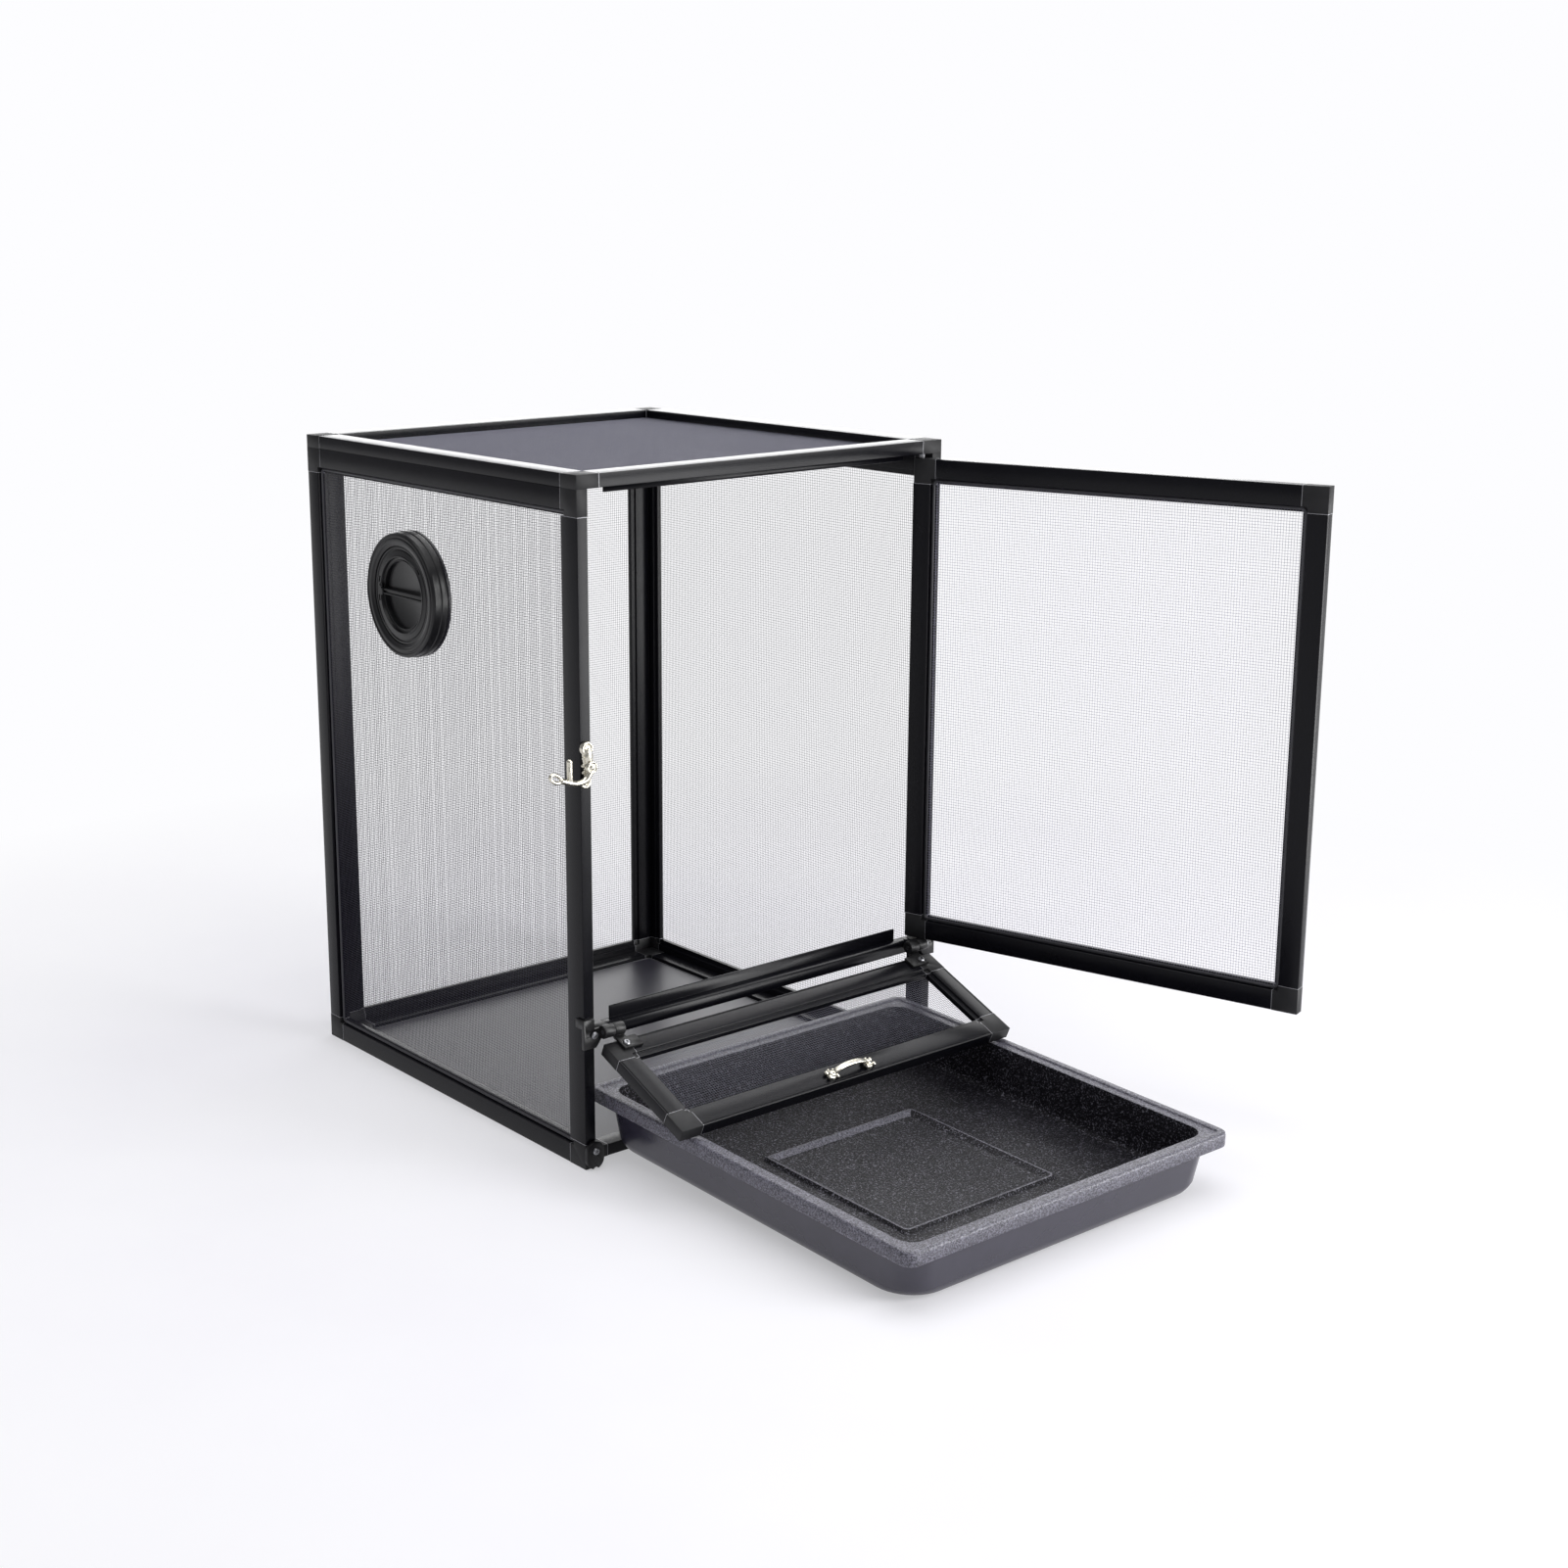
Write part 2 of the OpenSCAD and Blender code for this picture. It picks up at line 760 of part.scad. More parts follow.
// leaf on the flap's outer face, with its knuckle (right-hand side)
module flap_leaf() {
    x1 = knuckle_x - knuckle_len - knuckle_gap;
    flap_swing() {
        knuckle(x1 - knuckle_len);
        difference() {
            union() {
                translate([x1 - knuckle_len, front_y - seat - leaf_t, flap_top - leaf_len])
                    cube([knuckle_len, leaf_t, leaf_len + flap_pivot_up - flap_pin_d / 2 - 1]);
                translate([x1 - leaf_w, front_y - seat - leaf_t, flap_top - leaf_len])
                    cube([leaf_w, leaf_t, leaf_len]);
            }
            out_front(leaf_screw) screw_bore();
            translate([0, hinge_y, hinge_z]) rotate([0, 90, 0])
                rod(flap_pin_d + 2 * pin_fit, 0, half_w);
        }
    }
}

module flap_bracket_left() {
    color("#454643") mirror([1, 0, 0]) flap_bracket();
}

module flap_bracket_right() {
    color("#454643") flap_bracket();
}

module flap_leaf_left() {
    color("#565754") mirror([1, 0, 0]) flap_leaf();
}

module flap_leaf_right() {
    color("#565754") flap_leaf();
}

module flap_hinge_pins() {
    color("#8c8c8c") both_sides()
        translate([knuckle_x - 2 * knuckle_len - knuckle_gap, hinge_y, hinge_z])
            rotate([0, 90, 0]) rod(flap_pin_d, 0, 2 * knuckle_len + knuckle_gap);
}

module bracket_screws() {
    color("#9a9a9a") out_front(bracket_screw) screw();
    color("#9a9a9a") mirror([1, 0, 0]) out_front(bracket_screw) screw();
}

module leaf_screws() {
    color("#9a9a9a") flap_swing() both_sides() out_front(leaf_screw) screw(8);
}

// ---- tray ---------------------------------------------------------------------------
module tray_slab(inset, r, z) {
    translate([inset, inset, z]) linear_extrude(0.02)
        round_rect(tray_w - 2 * inset, tray_d - 2 * inset, r);
}

// solid of the wall's outer or inner surface, set in by a further distance
module tray_shell(more, z0, z1) {
    r = tray_wall_r - more;
    hull() {
        tray_slab(wall_in + 11 + more, r, z0, $fn = 48);
        tray_slab(wall_in + 5.8 + more, r, z0 + 2.6, $fn = 48);
        tray_slab(wall_in + 3.4 + more, r, z0 + 8, $fn = 48);
        tray_slab(wall_in + more, r, z1 - 0.02, $fn = 48);
    }
}

module tray_foot(x, y) {
    translate([x, y, 0]) cylinder(d = 12, h = foot_h + 0.5);
}

module tray_body() {
    wall = rim_w - wall_in;
    difference() {
        union() {
            tray_shell(0, foot_h, tray_h - 1);
            translate([0, 0, tray_h - skirt_h]) linear_extrude(skirt_h - rim_t) difference() {
                round_rect(tray_w, tray_d, tray_r);
                translate([rim_t, rim_t])
                    round_rect(tray_w - 2 * rim_t, tray_d - 2 * rim_t, tray_r - rim_t);
            }
            translate([0, 0, tray_h - rim_t - 0.01]) linear_extrude(rim_t + 0.01)
                round_rect(tray_w, tray_d, tray_r);
        }
        tray_shell(wall, foot_h + tray_floor_t, tray_h + 6);
        translate([wall_in, wall_in, tray_h - 1.6]) linear_extrude(4)
            round_rect(tray_w - 2 * wall_in, tray_d - 2 * wall_in, max(tray_r - wall_in, 4));
    }
    translate([tray_w / 2, tray_d / 2, foot_h + tray_floor_t - 0.01])
        linear_extrude(1.8) difference() {
            square(ridge_side, center = true);
            square(ridge_side - 2 * ridge_w, center = true);
        }
    for (i = [0, 1], k = [0, 1])
        translate([i * tray_w, k * tray_d, 0]) mirror([i, 0, 0]) mirror([0, k, 0]) {
            tray_foot(wall_in + 46, wall_in + 18);
            tray_foot(wall_in + 18, wall_in + 46);
        }
}

module tray() {
    color("#4d4b54") translate([tray_x - tray_w / 2, tray_y, ground])
        rotate([tray_tilt, 0, 0]) tray_body();
}

// ---- access port --------------------------------------------------------------------
// port frame: z points out of the left side, 0 at the side's outer face
module at_port() {
    translate([-half_w, front_y + port_y, port_z]) rotate([0, -90, 0]) children();
}

module port_screw_places() {
    for (a = [45:90:315]) rotate([0, 0, a])
        translate([(port_d + cap_d) / 4 + 0.2, 0, 0]) children();
}

cap_face = port_out - cap_sink;

module port_flange() {
    face = port_out;
    seat_z = mesh_t - lip_drop;
    shoulder = cap_face - cap_lip - cap_fit;
    color("#262629") at_port() difference() {
        rotate_extrude() polygon([
            [cap_bore_d / 2, seat_z], [port_d / 2, seat_z], [port_d / 2, face - 3],
            [port_d / 2 - 1, face - 1], [port_d / 2 - 3, face],
            [cap_d / 2 + 4, face], [cap_d / 2 + cap_fit + 1.2, face - 1.6],
            [cap_d / 2 + cap_fit, face - 1.6], [cap_d / 2 + cap_fit, shoulder],
            [cap_bore_d / 2, shoulder]]);
        port_screw_places() rod(thread_d + 2 * hole_fit, -20, seat_z + 7);
    }
}

module port_backing() {
    color("#262629") at_port() difference() {
        rod(port_d, -lip_drop - backing_t, -lip_drop);
        rod(cap_bore_d, -20, 20);
        port_screw_places() rod(thread_d + 2 * hole_fit, -20, 20);
    }
}

module port_cap() {
    color("#222225") at_port() {
        difference() {
            union() {
                rod(cap_d, cap_face - cap_lip, cap_face);
                rod(cap_bore_d - 2 * cap_fit, cap_face - cap_t, cap_face);
            }
            rod(recess_d, cap_face - recess_h, cap_face + 1);
            for (a = [100, 74, -50]) rotate([0, 0, a])
                translate([recess_d / 2 + 2.2, -2.5, cap_face - 1.2]) cube([1.4, 5, 2]);
        }
        translate([-grip_t / 2, -recess_d / 2 - 0.5, cap_face - recess_h - 0.01])
            cube([grip_t, recess_d + 1, recess_h + 0.01]);
    }
}

module port_screws() {
    color("#8c8c8c") at_port() port_screw_places()
        translate([0, 0, -lip_drop - backing_t]) rotate([180, 0, 0]) screw();
}

// ---- latch --------------------------------------------------------------------------
// flat bar with round ends between two points of a drawing
module link(a, b, w) {
    d = b - a;
    side = 0.98 * w;
    translate(a) rotate(atan2(d[1], d[0])) translate([0, -side / 2]) square([norm(d), side]);
    translate(a) circle(d = w);
    translate(b) circle(d = w);
}

module latch_base() {
    p = [latch_pivot[0], latch_pivot[2]];
    t = [latch_screw_top[0], latch_screw_top[2]];
    l = [latch_screw_low[0], latch_screw_low[2]];
    color("#bcbcbe") difference() {
        upright(front_y - latch_t, latch_t) {
            link(p, t, 8);
            link(p, l, 7.5);
        }
        latch_bores();
    }
}

// arm as drawn: open, pointing away from the door, with a fork at its tip and a thumb prong
module latch_arm() {
    bend = [-9, -10.5];
    mid = [-19, -8];
    tip = [-36, -5.2];
    thumb = [-20.2, 8];
    color("#cfcfd1") translate([latch_pivot[0], 0, latch_pivot[2]]) difference() {
        upright(front_y - arm_y - latch_t, latch_t) difference() {
            union() {
                circle(d = knob_d);
                link([0, 0], bend, 5);
                link(bend, mid, 5);
                link(mid, tip, 5);
                link(mid, thumb, 4);
                translate(tip) circle(d = 9);
            }
            translate(tip) rotate(170) translate([0.5, -1.6]) square([8, 3.2]);
        }
        translate([0, front_y, 0]) rotate([90, 0, 0])
            rod(knob_shaft_d + 2 * pin_fit, -1, 20);
    }
}

module latch_knob() {
    front = arm_y + latch_t + seat;
    color("#cfcfd1") out_front(latch_pivot) {
        rod(knob_shaft_d, -knob_in, front + 0.5);
        rod(knob_shaft_d + 3, latch_t, arm_y - seat);
        rotate_extrude() polygon([[0, front], [knob_d / 2, front],
            [knob_d / 2, front + 1.6], [knob_d / 2 - 1.2, front + 2.8], [0, front + 3.1]]);
    }
}

module latch_screws() {
    color("#9a9a9a") for (p = [latch_screw_top, latch_screw_low]) out_front(p) screw();
}

// ---- corner clips -------------------------------------------------------------------
module clip() {
    x = clip_screw[0];
    lobe = clip_drop - clip_w / 2;
    difference() {
        upright(front_y - clip_t - seat, clip_t) translate([x, clip_z]) difference() {
            union() {
                circle(d = clip_w);
                translate([-clip_w / 2, -lobe]) square([clip_w, lobe]);
                translate([0, -lobe]) circle(d = clip_w);
            }
            translate([0, -clip_drop - 1.2]) circle(d = 6);
        }
        out_front(clip_screw) screw_bore();
    }
}

module clip_left() {
    color("#1c1c1e") clip();
}

module clip_right() {
    color("#1c1c1e") mirror([1, 0, 0]) clip();
}

module clip_screws() {
    color("#8c8c8c") out_front(clip_screw) screw();
    color("#8c8c8c") mirror([1, 0, 0]) out_front(clip_screw) screw();
}

left_stiles();
left_rails();
left_corners();
left_mesh();
left_spline();
right_stiles();
right_rails();
right_corners();
right_mesh();
right_spline();
back_stiles();
back_rails();
back_corners();
back_mesh();
back_spline();
roof_stiles();
roof_rails();
roof_corners();
roof_mesh();
roof_spline();
floor_stiles();
floor_rails();
floor_corners();
floor_sheet();
floor_spline();
door_stiles();
door_rails();
door_corners();
door_mesh();
door_spline();
flap_stiles();
flap_rails();
flap_corners();
flap_mesh();
flap_spline();
cross_bar();
cross_bar_plugs();
head_stop();
door_bush();
door_pins();
flap_bracket_left();
flap_bracket_right();
flap_leaf_left();
flap_leaf_right();
flap_hinge_pins();
bracket_screws();
leaf_screws();
flap_handle();
tray();
port_flange();
port_backing();
port_cap();
port_screws();
latch_base();
latch_arm();
latch_knob();
latch_screws();
clip_left();
clip_right();
clip_screws();
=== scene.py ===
"""Finishes for the upright mesh terrarium: extruded frame bars, moulded connectors, woven wire
screens, the grained litter tray, the nickel latch and handle, the access port and the studio."""
import json
import math

import bmesh
import bpy
from bpy.props import FloatProperty, FloatVectorProperty, PointerProperty
from mathutils import Matrix, Vector

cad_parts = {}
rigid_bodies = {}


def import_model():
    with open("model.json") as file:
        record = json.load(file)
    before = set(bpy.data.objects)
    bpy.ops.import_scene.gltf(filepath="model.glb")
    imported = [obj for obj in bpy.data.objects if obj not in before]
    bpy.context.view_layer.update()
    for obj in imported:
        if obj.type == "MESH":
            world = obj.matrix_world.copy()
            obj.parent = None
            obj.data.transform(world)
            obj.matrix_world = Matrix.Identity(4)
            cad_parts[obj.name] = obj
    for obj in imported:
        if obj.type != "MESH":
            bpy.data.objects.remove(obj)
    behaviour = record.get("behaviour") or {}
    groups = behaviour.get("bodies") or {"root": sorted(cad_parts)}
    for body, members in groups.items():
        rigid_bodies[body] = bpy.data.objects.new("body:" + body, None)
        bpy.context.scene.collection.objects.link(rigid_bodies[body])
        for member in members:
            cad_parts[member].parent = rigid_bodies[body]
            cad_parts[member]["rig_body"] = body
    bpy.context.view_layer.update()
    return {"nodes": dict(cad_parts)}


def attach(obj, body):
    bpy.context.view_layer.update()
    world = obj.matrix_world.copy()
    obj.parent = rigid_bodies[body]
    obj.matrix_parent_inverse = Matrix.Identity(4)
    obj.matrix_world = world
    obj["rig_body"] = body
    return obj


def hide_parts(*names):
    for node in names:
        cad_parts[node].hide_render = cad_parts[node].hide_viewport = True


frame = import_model()

bl_info = {
    "name": "Mesh Terrarium",
    "version": (1, 0, 0),
    "blender": (4, 5, 0),
    "location": "View3D > Sidebar > Terrarium",
    "description": "Builds the finished look of an upright mesh terrarium around its frame",
    "category": "Object",
}

MM = 0.001
AXES = Vector((1, 0, 0)), Vector((0, 1, 0)), Vector((0, 0, 1))


# ---- sizes and colours ------------------------------------------------------------------
def length(name, mm, description):
    """A length property whose default is given in millimetres."""
    return FloatProperty(name=name, description=description, default=mm * MM, min=0.0,
                         precision=5, subtype="DISTANCE", unit="LENGTH")


def linear(value):
    """Scene-linear RGBA of an sRGB hex colour."""
    rgb = [int(value[i:i + 2], 16) / 255 for i in (1, 3, 5)]
    return (*(c / 12.92 if c <= 0.04045 else ((c + 0.055) / 1.055) ** 2.4 for c in rgb), 1.0)


def colour(name, value, description):
    """A colour property whose default is an sRGB hex value."""
    return FloatVectorProperty(name=name, description=description, default=linear(value),
                               size=4, subtype="COLOR", min=0.0, max=1.0)


class CageSizes(bpy.types.PropertyGroup):
    """Sizes of the cage's frame, as in the part's solids."""
    width: length("Width", 418, "Outside width of the cage")
    depth: length("Depth", 436, "Outside depth of the cage")
    height: length("Height", 610, "Outside height of the cage")
    front: length("Front", 25, "Distance of the uprights' front face before the origin")
    bar: length("Bar thickness", 11, "Thickness of the side, back, floor, door and flap frames")
    roof_bar: length("Roof thickness", 12, "Thickness of the roof frame")
    bar_face: length("Bar face", 18, "Face width of a bar without its lip")
    lip: length("Lip", 5, "Width of the lip that carries the screen")
    lip_drop: length("Lip drop", 4, "Depth from the spline face down to the lip")
    sill: length("Sill setback", 13.5, "How far the floor's front rail sits behind the uprights")
    edge: length("Edge radius", 0.7, "Radius of the bars' long edges")
    line: length("Shadow line", 0.9, "Width of the thin groove along each bar's outer face")


class ScreenSizes(bpy.types.PropertyGroup):
    """Woven wire of the screens."""
    pitch: length("Pitch", 2.5, "Distance between two wires, coarser than a common screen's")
    wire: length("Wire", 0.27, "Diameter of one wire")
    roof_wire: length("Roof wire", 0.36, "Diameter of the roof's wires")
    # one wire in three painted tones for how light falls on each screen: dark at the sides and back,
    # lighter on the roof and flap, palest on the door
    dark: colour("Wire colour", "#262435", "Colour of the side and back screens")
    top: colour("Upper wire colour", "#64646f", "Colour of the roof's and flap's screens")
    light: colour("Door wire colour", "#807e93", "Colour of the door's screen")


class TraySizes(bpy.types.PropertyGroup):
    """Sizes of the litter tray, as in the part's solids."""
    width: length("Width", 380, "Width over the rim")
    depth: length("Depth", 406, "Depth over the rim")
    height: length("Height", 54, "Height of the tray")
    radius: length("Rim radius", 11, "Radius of the rim's corners")
    wall_radius: length("Wall radius", 23, "Radius of the wall's outer corners")
    grain: length("Grain", 1.3, "Width of one pebble of the moulded grain")
    smooth: colour("Wall colour", "#32303e", "Colour of the smooth outer walls")
    grained: colour("Grain colour", "#131217", "Colour of the grained inside")
    # the rim colour is the grain painted paler, a painted highlight for the light on the rim
    painted_sheen: colour("Rim colour", "#55545e", "Colour of the grained rim, rubbed paler")


class MetalLooks(bpy.types.PropertyGroup):
    """Colours of the coated and plated metal."""
    coating: colour("Bar coating", "#0d0d12", "Satin black coating of the frame bars")
    nickel: colour("Nickel", "#d3cfc2", "Bright plate of the latch and the handle")
    zinc: colour("Zinc", "#a3a4a8", "Plate of the small screws")
    cast_cell: length("Cast detail", 0.32, "Finest detail of the cast latch and handle")


class PlasticLooks(bpy.types.PropertyGroup):
    """Colours of the moulded plastic."""
    connector: colour("Connectors", "#1a1a1c", "Glass-filled nylon of the corner connectors")
    hinge: colour("Hinges", "#1c1c1d", "Nylon of the flap's hinges")
    clip: colour("Clips", "#0f0f11", "Black nylon of the corner clips")
    port: colour("Port", "#141416", "Matt black plastic of the access port")
    bush: colour("Bush", "#a9a9a6", "Acetal bush under the door")
    spline: colour("Spline", "#3c3c40", "Vinyl cord that holds the screens")
    floor_sheet: colour("Floor sheet", "#24232e", "Solid plastic sheet of the floor")


class StudioLooks(bpy.types.PropertyGroup):
    """Backdrop, lamps and camera."""
    paper: colour("Paper", "#ebe9f2", "Colour of the seamless paper")
    far_paper: colour("Far paper", "#fdfdff", "Colour of the paper far behind the cage")
    world: FloatProperty(name="Room light", description="Strength of the even light of the room",
                         default=0.32, min=0.0)
    key: FloatProperty(name="Key lamp", description="Power of the large lamp above",
                       default=50.0, min=0.0, subtype="POWER", unit="POWER")
    card: FloatProperty(name="Reflector", description="Power of the cards that glossy surfaces mirror",
                        default=20.0, min=0.0, subtype="POWER", unit="POWER")
    lens: FloatProperty(name="Lens", description="Focal length on a 36 mm sensor",
                        default=53.596, min=1.0)


SETTINGS = {"terrarium_cage": CageSizes, "terrarium_screen": ScreenSizes,
            "terrarium_tray": TraySizes, "terrarium_metal": MetalLooks,
            "terrarium_plastic": PlasticLooks, "terrarium_studio": StudioLooks}


# ---- shared helpers ---------------------------------------------------------------------
def add(tree, kind, inputs=None, **settings):
    """Adds a node with its settings, input values and links; inputs are by name or number."""
    node = tree.nodes.new(kind)
    for key, value in settings.items():
        setattr(node, key, value)
    for key, value in (inputs or {}).items():
        if isinstance(value, bpy.types.NodeSocket):
            tree.links.new(value, node.inputs[key])
        else:
            node.inputs[key].default_value = value
    return node


def calc(tree, operation, *values):
    """Result of a node that works on numbers."""
    return add(tree, "ShaderNodeMath", dict(enumerate(values)), operation=operation).outputs[0]


def vector(tree, x=0.0, y=0.0, z=0.0):
    return add(tree, "ShaderNodeCombineXYZ", {0: x, 1: y, 2: z}).outputs[0]


def around(count):
    """Evenly spaced angles of one turn."""
    return [k * math.tau / count for k in range(count)]


def new_object(name, mesh):
    obj = bpy.data.objects.new(name, mesh)
    bpy.context.scene.collection.objects.link(obj)
    return obj


def mesh_object(name, bm, *materials):
    """Object of a bmesh, in metres from one in millimetres, with outward faces."""
    bmesh.ops.recalc_face_normals(bm, faces=bm.faces)
    bmesh.ops.scale(bm, vec=(MM, MM, MM), verts=bm.verts)
    mesh = bpy.data.meshes.new(name)
    bm.to_mesh(mesh)
    bm.free()
    for material in materials:
        mesh.materials.append(material)
    return new_object(name, mesh)


def plain(obj, angle):
    """Applies the object's modifiers, and smooths the faces that meet at less than the angle."""
    deps = bpy.context.evaluated_depsgraph_get()
    deps.update()
    mesh = bpy.data.meshes.new_from_object(obj.evaluated_get(deps))
    obj.modifiers.clear()
    old, obj.data = obj.data, mesh
    name = obj.name
    bpy.data.meshes.remove(old)
    mesh.name = name
    mesh.polygons.foreach_set("use_smooth", [True] * len(mesh.polygons))
    if angle:
        mesh.set_sharp_from_angle(angle=math.radians(angle))


def place(obj, *nodes):
    """Lets the piece stand for the solids, on their body."""
    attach(obj, frame["nodes"][nodes[0]]["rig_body"])
    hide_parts(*nodes)


def softened(node, material, radius, segments=2):
    """Piece in the shape of a solid with its edges rounded, which stands for it."""
    bm = bmesh.new()
    bm.from_mesh(frame["nodes"][node].data)
    bmesh.ops.remove_doubles(bm, verts=bm.verts, dist=2e-6)
    bmesh.ops.dissolve_limit(bm, angle_limit=math.radians(1), verts=bm.verts, edges=bm.edges)
    mesh = bpy.data.meshes.new(node + "_moulded")
    bm.to_mesh(mesh)
    bm.free()
    mesh.materials.clear()
    mesh.materials.append(material)
    obj = new_object(mesh.name, mesh)
    bevel = obj.modifiers.new("Edges", "BEVEL")
    bevel.width = radius * MM
    bevel.segments = segments
    bevel.limit_method = "ANGLE"
    bevel.angle_limit = math.radians(40)
    bevel.harden_normals = True
    plain(obj, angle=0)
    place(obj, node)


def dress(material, *nodes):
    """Gives solids whose shape is right their finish."""
    for node in nodes:
        obj = frame["nodes"][node]
        obj.data.materials.clear()
        obj.data.materials.append(material)


# ---- materials --------------------------------------------------------------------------
def finish_named(name, base, metallic, roughness, build=None, **sockets):
    """Principled material; build(tree, shader) adds its pattern nodes."""
    material = bpy.data.materials.new(name)
    material.use_nodes = True
    tree = material.node_tree
    shader = tree.nodes["Principled BSDF"]
    shader.inputs["Base Color"].default_value = base
    shader.inputs["Metallic"].default_value = metallic
    shader.inputs["Roughness"].default_value = roughness
    for key, value in sockets.items():
        shader.inputs[key.replace("_", " ")].default_value = value
    if build:
        build(tree, shader)
    return material


def tint(tree, base, other, factor):
    """Mixes two colours by a factor socket."""
    return add(tree, "ShaderNodeMix", {0: factor, 6: base, 7: other}, data_type="RGBA").outputs[2]


def shade(value, times):
    return (*(min(1.0, c * times) for c in value[:3]), 1.0)


def toned(tree, base, dark, light, factor):
    """Lets a pattern run a colour from dark times to light times its base."""
    return tint(tree, shade(base, dark), shade(base, light), factor)


def object_place(tree):
    return add(tree, "ShaderNodeTexCoord").outputs["Object"]


def noise(tree, at, scale, detail=2.0):
    """Noise with a number of features per metre."""
    return add(tree, "ShaderNodeTexNoise", {"Vector": at, "Scale": scale,
                                            "Detail": detail}).outputs[0]


def surface(tree, shader, tone, rough=None, bump=None):
    """Links a colour, a roughness given as pattern, low and high, and a relief given as
    height, strength and depth in millimetres."""
    tree.links.new(tone, shader.inputs["Base Color"])
    if rough:
        factor, low, high = rough
        spread = add(tree, "ShaderNodeMapRange", {0: factor, 3: low, 4: high})
        tree.links.new(spread.outputs[0], shader.inputs["Roughness"])
    if bump:
        height, strength, depth = bump
        relief = add(tree, "ShaderNodeBump", {"Height": height, "Strength": strength,
                                              "Distance": depth * MM})
        tree.links.new(relief.outputs[0], shader.inputs["Normal"])


def coated_bar():
    """Extruded aluminium with a satin black powder coat: near-black, a soft sheen that turns
    bright at a grazing angle, fine draw lines along the bar and a slight mottle."""
    base = bpy.context.scene.terrarium_metal.coating

    def build(tree, shader):
        uv = add(tree, "ShaderNodeUVMap", uv_map="Along").outputs[0]
        # draw lines 0.25 mm apart and about 60 mm long, and a mottle 25 mm wide
        lines = add(tree, "ShaderNodeMapping", {"Vector": uv, "Scale": (16.0, 4000.0, 1.0)})
        drawn = noise(tree, lines.outputs[0], 1.0)
        mottle = noise(tree, object_place(tree), 40.0, 3.0)
        surface(tree, shader, toned(tree, base, 0.8, 1.3, mottle), (mottle, 0.2, 0.3),
                (drawn, 0.12, 0.2))

    return finish_named("Powder-coated aluminium", base, 0.0, 0.3, build, IOR=1.5,
                        Specular_IOR_Level=0.16)


def moulded(name, base, roughness, grain_mm, strength, **sockets):
    """Injection-moulded plastic: dull, with the fine even texture of the tool's spark-eroded
    surface, as wide as the grain, and a faint change of tone."""
    def build(tree, shader):
        at = object_place(tree)
        tone = toned(tree, base, 0.85, 1.25, noise(tree, at, 60.0, 3.0))
        grain = noise(tree, at, 1000.0 / grain_mm, 1.0)
        surface(tree, shader, tone, bump=(grain, strength, 0.2))

    return finish_named(name, base, 0.0, roughness, build, IOR=1.53, **sockets)


def drawn_wire(name, base):
    """Drawn aluminium wire: a grey metal gone slightly dull, uneven from wire to wire."""
    def build(tree, shader):
        # change of tone over 8 mm, as oxide leaves it
        oxide = noise(tree, object_place(tree), 125.0)
        surface(tree, shader, toned(tree, base, 0.85, 1.1, oxide), (oxide, 0.35, 0.55))

    return finish_named(name, base, 0.6, 0.45, build)


def bright_nickel():
    """Die-cast zinc with a bright nickel plate: mirror-like, slightly wavy from the casting."""
    base = bpy.context.scene.terrarium_metal.nickel

    def build(tree, shader):
        # casting ripple, 3 mm wide
        ripple = noise(tree, object_place(tree), 330.0)
        surface(tree, shader, toned(tree, base, 0.85, 1.05, ripple), (ripple, 0.14, 0.32),
                (ripple, 0.35, 0.6))

    return finish_named("Bright nickel plate", base, 1.0, 0.16, build)


def sawn_end():
    """Sawn end of an extrusion: bare aluminium under the coat, a thin light line at each seam."""
    def build(tree, shader):
        # saw marks 0.8 mm apart
        marks = noise(tree, object_place(tree), 1200.0)
        surface(tree, shader, tint(tree, linear("#77777c"), linear("#b9b9bd"), marks))

    return finish_named("Sawn aluminium", linear("#9a9a9e"), 0.4, 0.4, build)


def zinc_plate():
    """Steel with a dull zinc plate, as on small pan-head screws: grey, with a cloudy stain."""
    base = bpy.context.scene.terrarium_metal.zinc

    def build(tree, shader):
        stain = noise(tree, object_place(tree), 700.0, 3.0)
        surface(tree, shader, toned(tree, base, 0.55, 1.0, stain), (stain, 0.25, 0.5))

    return finish_named("Zinc-plated steel", base, 1.0, 0.36, build)


def tray_grain(name, base, specular):
    """Vacuum-formed polystyrene sheet, haircell side: a leathery pebble with painted glints along its
    ridges, and painted shade that leaves it grey at a glance and black in its valleys."""
    scale = 1.0 / bpy.context.scene.terrarium_tray.grain

    def build(tree, shader):
        at = object_place(tree)
        warp = add(tree, "ShaderNodeTexNoise", {"Vector": at, "Scale": scale * 0.4,
                                                "Detail": 2.0})
        bent = add(tree, "ShaderNodeMix", {0: 0.003, 4: at, 5: warp.outputs["Color"]},
                   data_type="VECTOR").outputs[1]
        pebble = add(tree, "ShaderNodeTexVoronoi", {"Vector": bent, "Scale": scale},
                     feature="SMOOTH_F1")
        fine = noise(tree, bent, scale * 1.6, 3.0)
        height = calc(tree, "ADD", pebble.outputs["Distance"], fine)
        ridge = add(tree, "ShaderNodeMapRange", {0: height, 1: 0.7, 2: 1.2}).outputs[0]
        # painted glints: a pale colour on the highest ridge tops, one in a few pebbles, where they
        # would catch the light
        painted_glint = add(tree, "ShaderNodeMapRange", {0: height, 1: 1.04, 2: 1.24, 4: 0.75})
        # painted shade and light: the colour runs from 0.35 times its base in the valleys to 2.2 times
        # on the ridges
        tone = tint(tree, toned(tree, base, 0.35, 2.2, ridge), linear("#7a7983"),
                    painted_glint.outputs[0])
        surface(tree, shader, tone, (ridge, 0.5, 0.28), (height, 0.7, 0.5))

    return finish_named(name, base, 0.0, 0.5, build, IOR=1.59, Specular_IOR_Level=specular)


